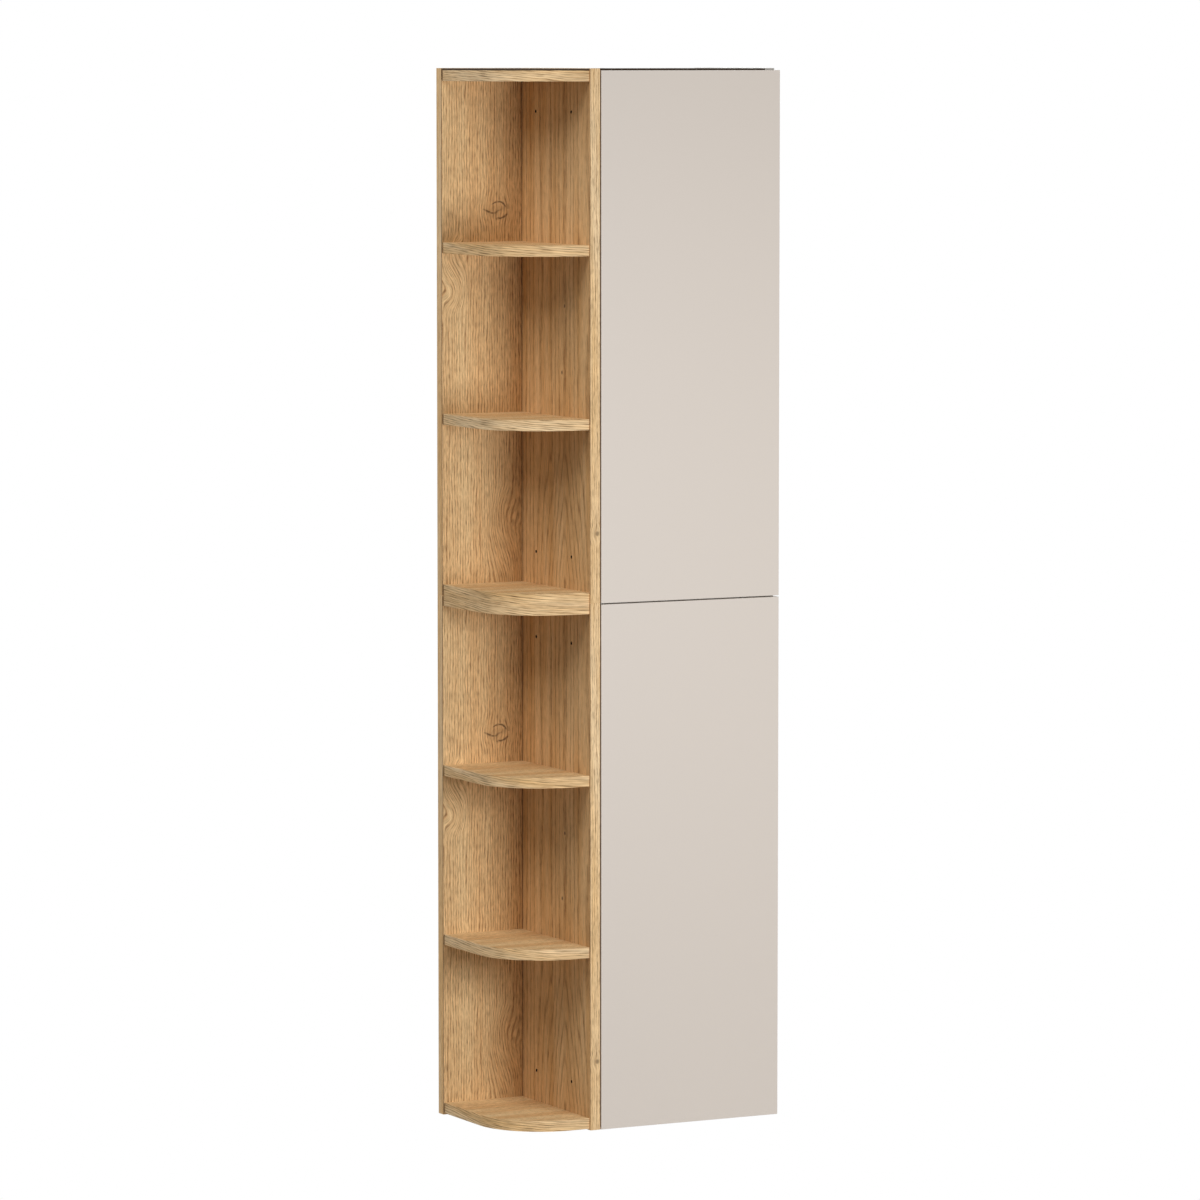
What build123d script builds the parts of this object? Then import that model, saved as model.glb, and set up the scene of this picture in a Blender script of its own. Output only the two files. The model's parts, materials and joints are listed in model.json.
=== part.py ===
from build123d import *
import os

os.makedirs("parts", exist_ok=True)

# A wall-hung column cabinet. The right part is two closed boxes, one above the other,
# each with a handleless door. The left part is two open end units with rounded shelves.
# X runs to the right, Y into the wall and Z up. The origin is the middle of the footprint,
# at the height of the underside.

# Main sizes, in millimetres
module_height = 784.0
depth = 240.0
open_unit_width = 150.0
box_width = 300.0
board = 16.0
door_thickness = 16.0
back_thickness = 3.0
cover_thickness = 2.5

# Set-backs and gaps that show
top_setback = 3.0
bottom_setback = 2.0
shelf_front_setback = 3.0
shelf_end_setback = 2.0
shelf_corner_radius = 100.0
door_side_gap = 2.0
door_split_gap = 2.0
door_seat_gap = 2.0
edge_round = 0.6

# Back panel of a closed box, in grooves ahead of the wall
rail_space = 18.0
groove_depth = 8.0
groove_play = 0.1
groove_end_play = 0.5

# Fixing holes and screws between the closed boxes and the oak side panels
fixing_from_ends = 64.0
fixing_from_faces = 62.0
fixing_radius = 2.5
fixing_head_radius = 4.5
fixing_head_height = 2.2
fixing_tip_recess = 3.0
screw_play = 0.05
tip_play = 1.0
socket_share = 0.5
socket_depth_share = 0.6

# Countersunk cabinet screws of the open units
cabinet_head_radius = 5.0
cabinet_head_height = 1.6
cabinet_neck_radius = 3.4
cabinet_core_radius = 2.4
cabinet_screw_length = 50.0
board_screw_from_front = 55.0
board_screw_from_back = 35.0
back_screw_from_ends = 100.0

# Wood dowels
dowel_radius = 4.0
dowel_length = 30.0
dowel_in_side = 10.0
dowel_play = 0.05

# Cam fittings of the closed boxes
cam_radius = 7.4
cam_height = 12.0
cam_recess = 0.3
cam_slot_play = 0.5
cam_cross = 1.6
cam_floor_play = 0.2
cam_from_end = 24.0
cam_bolt_radius = 3.0
cam_bolt_hole_radius = 4.0
cam_thread_radius = 2.45
cam_thread_length = 10.0
cam_from_front = 40.0
cam_from_back = 40.0

# Adjustable shelves of the closed boxes and the pins that carry them
shelf_side_play = 2.0
shelf_front_play = 10.0
shelf_rear_play = 3.0
pin_hole_radius = 2.5
pin_play = 0.05
pin_reach = 7.0
pin_in_side = 8.0
pin_collar_radius = 4.0
pin_collar_height = 1.5
pin_front_row = 37.0
pin_rear_row = 50.0
pin_pitch = 32.0
pin_spare_holes = 2

# Concealed hinges, two to a door
hinge_from_door_end = 100.0
cup_radius = 17.5
cup_depth = 11.5
cup_wall = 1.2
cup_floor = 1.0
cup_from_door_edge = 22.5
cup_pocket_play = 0.1
flange_half_length = 29.0
flange_inner = 13.5
flange_outer = 9.5
flange_thickness = 1.0
flange_corner = 4.0
cup_screw_spacing = 48.0
cup_screw_offset = 6.0
cheek_half_width = 3.0
cheek_inner = 5.8
cheek_outer = 8.0
cheek_recess = 0.5
hinge_pin_radius = 1.2
pin_hole_play = 0.05
cup_pin_offset = 11.0
cup_pin_depth = 3.0
elbow_offset = 5.5
elbow_drop = 2.5
link_thickness = 2.0
link_eye_radius = 2.2
link_half_width = 5.5
arm_pivot_from_side = 18.0
arm_pivot_behind_front = 3.0
arm_nose_radius = 3.4
arm_wall = 1.2
arm_length = 54.0
arm_height = 15.4
arm_shoulder = 12.0
arm_web = 1.4
plate_thickness = 2.5
plate_half_length = 27.0
plate_half_width = 12.0
plate_from_front = 37.0
plate_screw_spacing = 32.0
boss_half_length = 19.0
arm_screw_radius = 2.0
arm_screw_length = 10.0
arm_screw_head_radius = 3.8
arm_screw_head_height = 1.6
arm_screw_spacing = 20.0

# Small pan-head screws for hinges, brackets and latches
small_screw_radius = 1.5
small_screw_length = 9.0
small_head_radius = 3.5
small_head_height = 1.8

# Push latches at the opening edges
latch_from_side = 9.0
latch_body_half = 7.0
latch_body_length = 62.0
latch_wing_half = 17.0
latch_wing_thickness = 3.0
latch_wing_length = 30.0
latch_screw_spacing = 24.0
plunger_radius = 3.0
plunger_play = 0.08
plunger_length = 46.0
plunger_reach = 3.8
plunger_travel = 2.0
spring_end_play = 0.2
latch_bore_end = 4.0
spring_wire = 0.35
spring_radius = 2.2
spring_turns = 6
strike_radius = 7.0
strike_thickness = 0.8
strike_play = 0.2

# Hanging brackets, their hooks and the wall rails
bracket_base = 4.0
bracket_length = 60.0
bracket_height = 38.0
bracket_box_depth = 14.0
bracket_box_height = 22.0
bracket_box_front = 6.0
bracket_slot_play = 0.3
bracket_screw_inset = 5.0
bracket_screw_rise = 4.0
hook_thickness = 2.5
hook_height = 12.0
hook_from_front = 12.0
hook_front_play = 1.0
hook_tooth = 3.0
hook_tooth_drop = 8.0
slot_around_hook = 2.0
rail_thickness = 2.0
rail_lip_from_back = 5.0
rail_lip_height = 20.0
rail_foot_height = 22.0
rail_hole_spacing = 224.0
rail_hole_radius = 3.25
rail_end_play = 2.0
hook_play = 0.3

# Screws that join the upper boxes to the lower ones
joint_screw_length = 28.0
joint_screw_from_side = 40.0
joint_screw_from_front = 45.0
joint_screw_from_back = 55.0

# Places that follow from the sizes
total_width = open_unit_width + box_width
column_height = 2 * module_height
left_end = -total_width / 2
right_end = total_width / 2
front = -depth / 2
wall = depth / 2
oak_left = left_end + open_unit_width - board
box_left = left_end + open_unit_width
box_inner_left = box_left + board
box_inner_right = right_end - board
oak_back_face = wall - board
door_back = front + door_thickness
box_front = door_back + door_seat_gap
back_rear = wall - rail_space
back_front = back_rear - back_thickness
shelf_left = left_end + shelf_end_setback
shelf_front = front + shelf_front_setback
door_height = (column_height - top_setback - door_split_gap) / 2
oak_middle = (left_end + oak_left) / 2

RIGHT = (1, 0, 0)
LEFT = (-1, 0, 0)
WALL = (0, 1, 0)
FRONT = (0, -1, 0)
UP = (0, 0, 1)
DOWN = (0, 0, -1)


def save(builder, name):
    """Label a finished sub-part and write its file."""
    builder.part.label = name
    export_step(builder.part, f"parts/{name}.step")
    print(name, len(builder.part.solids()))


def slab(x, y, z, mode=Mode.ADD):
    """A block between low and high values along each axis."""
    with BuildSketch(Plane.XY.offset(z[0])) as outline:
        with Locations(((x[0] + x[1]) / 2, (y[0] + y[1]) / 2)):
            Rectangle(x[1] - x[0], y[1] - y[0])
    extrude(outline.sketch, amount=z[1] - z[0], mode=mode)


def seats(normal, places):
    """Planes at the given places, for screws and holes that go in against the normal."""
    return [Plane(origin=place, z_dir=normal) for place in places]


def drill(normal, places, radius, hole_depth):
    """Round holes of one size that go in against the normal."""
    with Locations(*seats(normal, places)):
        Hole(radius, depth=hole_depth)


def countersink(normal, places, hole_depth):
    """Holes for the neck and head of cabinet screws."""
    with Locations(*seats(normal, places)):
        CounterSinkHole(
            cabinet_neck_radius + screw_play,
            cabinet_head_radius + screw_play,
            depth=hole_depth,
            counter_sink_angle=90,
        )


def rounded_board(z):
    """A board of the open unit, with its front left corner cut to a quarter circle."""
    with BuildSketch(Plane.XY.offset(z[0])) as outline:
        with BuildLine():
            corner = shelf_corner_radius
            Line((shelf_left, oak_back_face), (shelf_left, shelf_front + corner))
            RadiusArc(
                (shelf_left, shelf_front + corner),
                (shelf_left + corner, shelf_front),
                -corner,
            )
            Line((shelf_left + corner, shelf_front), (oak_left, shelf_front))
            Line((oak_left, shelf_front), (oak_left, oak_back_face))
            Line((oak_left, oak_back_face), (shelf_left, oak_back_face))
        make_face()
    extrude(outline.sketch, amount=z[1] - z[0])


def pan_screw(radius, length, head_radius, head_height):
    """A pan-head screw with a six-sided socket, its tip pointing down from the seat."""
    with BuildPart() as screw:
        with BuildSketch(Plane.XZ):
            with BuildLine():
                Polyline(
                    (0, head_height),
                    (head_radius, head_height),
                    (head_radius, 0),
                    (radius, 0),
                    (radius, -length),
                    (0, -length),
                    close=True,
                )
            make_face()
        revolve(axis=Axis.Z)
        with BuildSketch(Plane.XY.offset(head_height)):
            RegularPolygon(head_radius * socket_share, 6)
        extrude(amount=-head_height * socket_depth_share, mode=Mode.SUBTRACT)
    return screw.part


def cabinet_screw():
    """A countersunk screw with a thick neck and a thinner core, tip down from the seat."""
    with BuildPart() as screw:
        with BuildSketch(Plane.XZ):
            with BuildLine():
                Polyline(
                    (0, 0),
                    (cabinet_head_radius, 0),
                    (cabinet_neck_radius, -cabinet_head_height),
                    (cabinet_neck_radius, -board),
                    (cabinet_core_radius, -board),
                    (cabinet_core_radius, -cabinet_screw_length),
                    (0, -cabinet_screw_length),
                    close=True,
                )
            make_face()
        revolve(axis=Axis.Z)
        with BuildSketch(Plane.XY):
            RegularPolygon(cabinet_neck_radius * socket_share, 6)
        extrude(amount=-cabinet_head_height, mode=Mode.SUBTRACT)
    return screw.part


def plain_rod(radius, length):
    """A round rod that hangs down from its seat."""
    with BuildPart() as rod:
        with BuildSketch(Plane.XY):
            Circle(radius)
        extrude(amount=-length)
    return rod.part


# Heights of the four rounded boards in each half, from the lowest up
def board_levels(lowest, highest):
    """Undersides of four boards spread evenly between the lowest and the highest."""
    return [lowest + (highest - lowest) * step / 3 for step in range(4)]


halves = {
    "lower": {
        "base": 0.0,
        "top": module_height,
        "boards": board_levels(bottom_setback, module_height - board),
        "door_base": 0.0,
    },
    "upper": {
        "base": module_height,
        "top": column_height,
        "boards": board_levels(module_height, column_height - top_setback - board),
        "door_base": door_height + door_split_gap,
    },
}
board_names = ["bottom_board", "low_shelf", "high_shelf", "top_board"]

# Places of the open unit's screws and dowels
front_screw_y = front + board_screw_from_front
rear_screw_y = oak_back_face - board_screw_from_back
dowel_y = (front_screw_y + rear_screw_y) / 2
back_middle_y = (oak_back_face + wall) / 2
core_depth = cabinet_screw_length - board

side_screw_places = []
back_screw_places = []
corner_screw_places = []
open_dowel_places = []
fixing_places = []

# The open end units, lower and upper
for half, sizes in halves.items():
    base, top = sizes["base"], sizes["top"]
    middles = [level + board / 2 for level in sizes["boards"]]
    side_screws = [(box_left, y, z) for z in middles for y in (front_screw_y, rear_screw_y)]
    back_screws = [(oak_middle, wall, z) for z in middles]
    corner_heights = [base + back_screw_from_ends, (base + top) / 2, top - back_screw_from_ends]
    corner_screws = [(box_left, back_middle_y, z) for z in corner_heights]
    dowels = [(oak_left + dowel_in_side, dowel_y, z) for z in middles]
    fixings = [
        (box_inner_left, y, z)
        for z in (base + fixing_from_ends, top - fixing_from_ends)
        for y in (front + fixing_from_faces, wall - fixing_from_faces)
    ]
    side_screw_places += side_screws
    back_screw_places += back_screws
    corner_screw_places += corner_screws
    open_dowel_places += dowels
    fixing_places += fixings

    with BuildPart() as side_panel:
        slab((oak_left, box_left), (front, wall), (base, top))
        fillet(side_panel.faces().sort_by(Axis.Y)[0].edges().filter_by(Axis.Z), edge_round)
        countersink(RIGHT, side_screws + corner_screws, board)
        drill(RIGHT, fixings, fixing_radius + screw_play, 2 * board)
        drill(RIGHT, dowels, dowel_radius + dowel_play, dowel_in_side)
    save(side_panel, f"{half}_oak_side_panel")

    with BuildPart() as back_panel:
        slab((left_end, oak_left), (oak_back_face, wall), (base, top))
        fillet(back_panel.faces().sort_by(Axis.X)[0].edges().filter_by(Axis.Z), edge_round)
        countersink(WALL, back_screws, board)
        core_places = [(oak_left, y, z) for _, y, z in corner_screws]
        drill(RIGHT, core_places, cabinet_core_radius + screw_play, core_depth + tip_play)
    save(back_panel, f"{half}_oak_back_panel")

    for name, level in zip(board_names, sizes["boards"]):
        middle = level + board / 2
        with BuildPart() as rounded:
            rounded_board((level, level + board))
            shown = [
                edge
                for edge in rounded.edges().filter_by(Plane.XY)
                if edge.center().Y < oak_back_face and edge.center().X < oak_left
            ]
            fillet(shown, edge_round)
            ends = [(oak_left, y, middle) for y in (front_screw_y, rear_screw_y)]
            drill(RIGHT, ends, cabinet_core_radius + screw_play, core_depth + tip_play)
            drill(RIGHT, [(oak_left, dowel_y, middle)], dowel_radius + dowel_play,
                  dowel_length - dowel_in_side)
            drill(WALL, [(oak_middle, oak_back_face, middle)],
                  cabinet_core_radius + screw_play, core_depth + tip_play)
        save(rounded, f"{half}_oak_{name}")

top_board_level = column_height - top_setback
with BuildPart() as open_cover:
    rounded_board((top_board_level, top_board_level + cover_thickness))
save(open_cover, "open_unit_top_cover")

with BuildPart() as open_screws:
    with Locations(*seats(RIGHT, side_screw_places + corner_screw_places)):
        add(cabinet_screw())
    with Locations(*seats(WALL, back_screw_places)):
        add(cabinet_screw())
save(open_screws, "open_unit_screws")

with BuildPart() as open_dowels:
    with Locations(*seats(RIGHT, open_dowel_places)):
        add(plain_rod(dowel_radius, dowel_length))
save(open_dowels, "open_unit_dowels")

# Places inside the closed boxes
box_middle = (box_left + right_end) / 2
cam_rows = (box_front + cam_from_front, back_front - cam_from_back)
cam_middle_row = (cam_rows[0] + cam_rows[1]) / 2
pin_rows = (box_front + pin_front_row, back_front - pin_rear_row)
pin_radius = pin_hole_radius - pin_play
hook_x = bracket_base + bracket_box_depth / 2
bracket_rear = back_front
hook_front = bracket_rear - bracket_length + hook_from_front
rail_lip_front = back_rear + rail_lip_from_back
hook_rear = rail_lip_front + rail_thickness + hook_play + hook_tooth
plate_y = box_front + plate_from_front
pivot_x = box_inner_right - arm_pivot_from_side
pivot_y = box_front + arm_pivot_behind_front
cup_x = right_end - cup_from_door_edge
cup_pin_x = cup_x + cup_pin_offset
cup_pin_y = door_back - cup_pin_depth
latch_x = box_inner_left + latch_from_side
strike_face = door_back + strike_thickness
plunger_tip = strike_face + strike_play
latch_front = plunger_tip + plunger_reach
latch_rear = latch_front + latch_body_length
latch_plate_y = latch_rear - latch_wing_length / 2

cam_places = []
cam_bolts = []
box_dowels = []
all_pins = []
hinge_heights = []
latch_heights = []
bracket_heights = []
joint_screws = []


# The closed boxes, lower and upper
for half, sizes in halves.items():
    base, top = sizes["base"], sizes["top"]
    panel_top = top - top_setback if half == "upper" else top
    bottom_middle = base + board / 2
    top_middle = panel_top - board / 2
    inner_low = base + board
    inner_high = panel_top - board
    cams = [
        (x + way * cam_from_end, y, face, way, normal)
        for face, normal in ((base, DOWN), (panel_top, UP))
        for x, way in ((box_inner_left, 1), (box_inner_right, -1))
        for y in cam_rows
    ]
    cam_places.append(cams)
    left_bolts = [(box_inner_left - cam_thread_length, y, z)
                  for y in cam_rows for z in (bottom_middle, top_middle)]
    right_bolts = [(box_inner_right + cam_thread_length, y, z)
                   for y in cam_rows for z in (bottom_middle, top_middle)]
    cam_bolts.append((left_bolts, right_bolts))
    left_dowels = [(box_inner_left - dowel_in_side, cam_middle_row, z)
                   for z in (bottom_middle, top_middle)]
    right_dowels = [(box_inner_right + dowel_in_side, cam_middle_row, z)
                    for z in (bottom_middle, top_middle)]
    box_dowels.append((left_dowels, right_dowels))

    shelf_pitch = (inner_high - inner_low) / 3
    pin_heights = [inner_low + shelf_pitch * step - board / 2 - pin_radius for step in (1, 2)]
    spare = range(-pin_spare_holes, pin_spare_holes + 1)
    hole_heights = [z + step * pin_pitch for z in pin_heights for step in spare]
    all_pins += [(y, z) for z in pin_heights for y in pin_rows]
    hinges = [sizes["door_base"] + hinge_from_door_end,
              sizes["door_base"] + door_height - hinge_from_door_end]
    hinge_heights.append(hinges)
    latch_z = (inner_low + inner_high) / 2
    latch_heights.append(latch_z)
    bracket_heights.append(inner_high)
    fixings = [place for place in fixing_places if base < place[2] < top]
    bracket_rows = [
        (back_front - bracket_length + bracket_screw_inset,
         inner_high - bracket_height + bracket_screw_rise),
        (back_front - bracket_screw_inset, inner_high - bracket_screw_rise),
    ]

    # The two sides differ only in what is fastened to them
    for side_name, outer, inner, normal in (
        ("left", box_left, box_inner_left, RIGHT),
        ("right", right_end, box_inner_right, LEFT),
    ):
        low, high = min(outer, inner), max(outer, inner)
        with BuildPart() as box_side:
            slab((low, high), (box_front, wall), (base, top))
            groove = sorted((inner, inner - normal[0] * groove_depth))
            slab(groove, (back_front - groove_play, back_rear + groove_play), (base, top),
                 Mode.SUBTRACT)
            pins = [(inner, y, z) for y in pin_rows for z in hole_heights]
            drill(normal, pins, pin_hole_radius, pin_in_side + tip_play)
            threads = [(inner, y, z) for y in cam_rows for z in (bottom_middle, top_middle)]
            drill(normal, threads, cam_thread_radius + screw_play, cam_thread_length)
            dowel_holes = [(inner, cam_middle_row, z) for z in (bottom_middle, top_middle)]
            drill(normal, dowel_holes, dowel_radius + dowel_play, dowel_in_side)
            bracket_screws = [(inner, y, z) for y, z in bracket_rows]
            drill(normal, bracket_screws, small_screw_radius + screw_play, small_screw_length)
            if side_name == "left":
                drill(normal, fixings, fixing_radius + screw_play, board)
                latch_holes = [(inner, latch_plate_y, latch_z + step * latch_screw_spacing / 2)
                               for step in (-1, 1)]
                drill(normal, latch_holes, small_screw_radius + screw_play, small_screw_length)
            else:
                plate_holes = [(inner, plate_y, z + step * plate_screw_spacing / 2)
                               for z in hinges for step in (-1, 1)]
                drill(normal, plate_holes, small_screw_radius + screw_play, small_screw_length)
        save(box_side, f"{half}_box_{side_name}_side")

    # Top and bottom panels, with their cam, dowel and joining holes
    joints = [(x, y) for x in (box_inner_left + joint_screw_from_side,
                               box_inner_right - joint_screw_from_side)
              for y in (box_front + joint_screw_from_front, back_front - joint_screw_from_back)]
    for panel_name, low, middle, face, normal in (
        ("bottom_panel", base, bottom_middle, base, DOWN),
        ("top_panel", panel_top - board, top_middle, panel_top, UP),
    ):
        with BuildPart() as panel:
            slab((box_inner_left, box_inner_right), (box_front, back_front), (low, low + board))
            cam_holes = [(x, y, z) for x, y, z, way, side in cams if side == normal]
            drill(normal, cam_holes, cam_radius + screw_play, cam_recess + cam_height + cam_floor_play)
            for y in cam_rows:
                drill(LEFT, [(box_inner_left, y, middle)], cam_bolt_hole_radius, cam_from_end)
                drill(RIGHT, [(box_inner_right, y, middle)], cam_bolt_hole_radius, cam_from_end)
            half_dowel = dowel_length - dowel_in_side
            drill(LEFT, [(box_inner_left, cam_middle_row, middle)],
                  dowel_radius + dowel_play, half_dowel)
            drill(RIGHT, [(box_inner_right, cam_middle_row, middle)],
                  dowel_radius + dowel_play, half_dowel)
            if (half, panel_name) in (("upper", "bottom_panel"), ("lower", "top_panel")):
                through = [(x, y, low + board) for x, y in joints]
                drill(UP, through, fixing_radius + screw_play, board)
        save(panel, f"{half}_box_{panel_name}")
    if half == "upper":
        joint_screws = [(x, y, inner_low) for x, y in joints]

    # Back panel in the grooves, with a window for each hook
    reach = groove_depth - groove_end_play
    hook_low = inner_high - bracket_height / 2 - hook_height / 2
    with BuildPart() as back:
        slab((box_inner_left - reach, box_inner_right + reach), (back_front, back_rear),
             (base, panel_top))
        for hook_middle in (box_inner_left + hook_x, box_inner_right - hook_x):
            half_gap = hook_thickness / 2 + slot_around_hook
            slab((hook_middle - half_gap, hook_middle + half_gap), (back_front, back_rear),
                 (hook_low - slot_around_hook - hook_tooth_drop,
                  hook_low + hook_height + slot_around_hook), Mode.SUBTRACT)
    save(back, f"{half}_box_back_panel")

    # Two adjustable shelves, resting on their pins
    for shelf_name, pin_z in zip(("low", "high"), pin_heights):
        with BuildPart() as shelf:
            slab((box_inner_left + shelf_side_play, box_inner_right - shelf_side_play),
                 (box_front + shelf_front_play, back_front - shelf_rear_play),
                 (pin_z + pin_radius, pin_z + pin_radius + board))
        save(shelf, f"{half}_box_{shelf_name}_shelf")

with BuildPart() as box_cover:
    slab((box_inner_left, box_inner_right), (box_front, back_rear),
         (top_board_level, top_board_level + cover_thickness))
save(box_cover, "box_top_cover")

# Cam fittings, dowels and pins of both boxes
cam_slot = cam_bolt_radius + cam_slot_play
with BuildPart() as cam:
    with BuildSketch(Plane.XY.offset(-cam_recess)):
        Circle(cam_radius)
    extrude(amount=-cam_height)
    slab((-cam_slot, cam_radius), (-cam_slot, cam_slot),
         (-cam_recess - cam_height, cam_slot - board / 2), Mode.SUBTRACT)
    with BuildSketch(Plane.XY.offset(-cam_recess)):
        Rectangle(cam_radius, cam_cross)
        Rectangle(cam_cross, cam_radius)
    extrude(amount=-cam_cross, mode=Mode.SUBTRACT)

with BuildPart() as cam_housings:
    for places in cam_places:
        with Locations(*[Plane(origin=(x, y, z), x_dir=(-way, 0, 0), z_dir=normal)
                         for x, y, z, way, normal in places]):
            add(cam.part)
save(cam_housings, "cam_housings")

with BuildPart() as cam_bolt:
    with BuildSketch(Plane.XY):
        Circle(cam_thread_radius)
    extrude(amount=-cam_thread_length)
    with BuildSketch(Plane.XY.offset(-cam_thread_length)):
        Circle(cam_bolt_radius)
    extrude(amount=-cam_from_end)

with BuildPart() as all_cam_bolts:
    for left_bolts, right_bolts in cam_bolts:
        with Locations(*seats(LEFT, left_bolts)):
            add(cam_bolt.part)
        with Locations(*seats(RIGHT, right_bolts)):
            add(cam_bolt.part)
save(all_cam_bolts, "cam_bolts")

with BuildPart() as dowels_of_boxes:
    for left_dowels, right_dowels in box_dowels:
        with Locations(*seats(LEFT, left_dowels)):
            add(plain_rod(dowel_radius, dowel_length))
        with Locations(*seats(RIGHT, right_dowels)):
            add(plain_rod(dowel_radius, dowel_length))
save(dowels_of_boxes, "box_dowels")

with BuildPart() as shelf_pin:
    with BuildSketch(Plane.XY.offset(pin_reach)):
        Circle(pin_radius)
    extrude(amount=-pin_reach - pin_in_side)
    with BuildSketch(Plane.XY):
        Circle(pin_collar_radius)
    extrude(amount=pin_collar_height)

with BuildPart() as shelf_pins:
    with Locations(*seats(RIGHT, [(box_inner_left, y, z) for y, z in all_pins])):
        add(shelf_pin.part)
    with Locations(*seats(LEFT, [(box_inner_right, y, z) for y, z in all_pins])):
        add(shelf_pin.part)
save(shelf_pins, "shelf_pins")

# Screws from the boxes into the oak side panels, and from the upper box into the lower one
fixing_length = 2 * board - fixing_tip_recess
with BuildPart() as fixing_screws:
    with Locations(*seats(RIGHT, fixing_places)):
        add(pan_screw(fixing_radius, fixing_length, fixing_head_radius, fixing_head_height))
save(fixing_screws, "unit_fixing_screws")

with BuildPart() as stacking_screws:
    with Locations(*seats(UP, joint_screws)):
        add(pan_screw(fixing_radius, joint_screw_length, fixing_head_radius, fixing_head_height))
save(stacking_screws, "box_stacking_screws")

# Hanging brackets in the top rear corners: a screwed base and a box that holds the hook
brackets = [
    (inner, way, inner_high)
    for inner_high in bracket_heights
    for inner, way in ((box_inner_left, 1), (box_inner_right, -1))
]


def bracket_screw_places(inner, way, high):
    """Places of a bracket's two screws on its base, low at the front and high at the rear."""
    x = inner + way * bracket_base
    front_y = bracket_rear - bracket_length + bracket_screw_inset
    rear_y = bracket_rear - bracket_screw_inset
    return [
        (x, front_y, high - bracket_height + bracket_screw_rise),
        (x, rear_y, high - bracket_screw_rise),
    ]


with BuildPart() as hanging_brackets:
    for inner, way, high in brackets:
        base_x = sorted((inner, inner + way * bracket_base))
        box_x = sorted((inner + way * bracket_base, inner + way * (bracket_base + bracket_box_depth)))
        middle_z = high - bracket_height / 2
        box_z = (middle_z - bracket_box_height / 2, middle_z + bracket_box_height / 2)
        slab(base_x, (bracket_rear - bracket_length, bracket_rear), (high - bracket_height, high))
        slab(box_x, (bracket_rear - bracket_length + bracket_box_front, bracket_rear), box_z)
        hook_half = hook_thickness / 2 + bracket_slot_play
        slab((inner + way * hook_x - hook_half, inner + way * hook_x + hook_half),
             (hook_front - hook_front_play, bracket_rear),
             (middle_z - hook_height / 2 - bracket_slot_play, middle_z + hook_height / 2),
             Mode.SUBTRACT)
        drill((way, 0, 0), bracket_screw_places(inner, way, high),
              small_screw_radius + screw_play, bracket_base)
save(hanging_brackets, "hanging_brackets")

with BuildPart() as hooks:
    for inner, way, high in brackets:
        middle_z = high - bracket_height / 2
        low_z = middle_z - hook_height / 2
        x = (inner + way * hook_x - hook_thickness / 2, inner + way * hook_x + hook_thickness / 2)
        slab(x, (hook_front, hook_rear),
             (low_z, low_z + hook_height))
        slab(x, (hook_rear - hook_tooth, hook_rear), (low_z - hook_tooth_drop, low_z))
save(hooks, "hanging_hooks")

# Wall rails: a foot on the wall, a step out, and a lip that the hooks hang over
with BuildPart() as rails:
    for high in bracket_heights:
        lip_top = high - bracket_height / 2 - hook_height / 2
        step_z = lip_top - rail_lip_height
        x = (box_inner_left + rail_end_play, box_inner_right - rail_end_play)
        slab(x, (rail_lip_front, rail_lip_front + rail_thickness), (step_z, lip_top))
        slab(x, (rail_lip_front, wall), (step_z - rail_thickness, step_z))
        slab(x, (wall - rail_thickness, wall), (step_z - rail_foot_height, step_z))
        hole_z = step_z - rail_thickness - (rail_foot_height - rail_thickness) / 2
        holes = [(box_middle + step * rail_hole_spacing / 2, wall - rail_thickness, hole_z)
                 for step in (-1, 1)]
        drill(FRONT, holes, rail_hole_radius, rail_thickness)
save(rails, "wall_rails")

# Small screws of plates, brackets and latches, all fixed to the boxes
small_screw = pan_screw(small_screw_radius, small_screw_length, small_head_radius,
                        small_head_height)
plate_face = box_inner_right - plate_thickness
latch_face = box_inner_left + latch_wing_thickness
left_small = []
right_small = []
for hinges, latch_z in zip(hinge_heights, latch_heights):
    right_small += [(plate_face, plate_y, z + step * plate_screw_spacing / 2)
                    for z in hinges for step in (-1, 1)]
    left_small += [(latch_face, latch_plate_y, latch_z + step * latch_screw_spacing / 2)
                   for step in (-1, 1)]
with BuildPart() as fitting_screws:
    with Locations(*seats(LEFT, right_small)):
        add(small_screw)
    with Locations(*seats(RIGHT, left_small)):
        add(small_screw)
    for inner, way, high in brackets:
        with Locations(*seats((way, 0, 0), bracket_screw_places(inner, way, high))):
            add(small_screw)
save(fitting_screws, "fitting_screws")

# Hinge mounting plates on the right sides: a screwed base and the boss that the arm sits on
arm_left = pivot_x - arm_nose_radius
arm_right = arm_left + arm_height
boss_left = arm_left + arm_web
all_hinges = [z for hinges in hinge_heights for z in hinges]
arm_screw_places = [(arm_left, plate_y + step * arm_screw_spacing / 2, z)
                    for z in all_hinges for step in (-1, 1)]
arm_screw_hole = arm_screw_radius + screw_play
with BuildPart() as hinge_plates:
    for z in all_hinges:
        slab((plate_face, box_inner_right), (plate_y - plate_half_width, plate_y + plate_half_width),
             (z - plate_half_length, z + plate_half_length))
        slab((boss_left, plate_face), (plate_y - boss_half_length, plate_y + boss_half_length),
             (z - link_half_width, z + link_half_width))
        screw_places = [(plate_face, plate_y, z + step * plate_screw_spacing / 2)
                        for step in (-1, 1)]
        drill(LEFT, screw_places, small_screw_radius + screw_play, plate_thickness)
    drill(LEFT, arm_screw_places, arm_screw_hole, arm_screw_length + tip_play)
save(hinge_plates, "hinge_mounting_plates")

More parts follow.
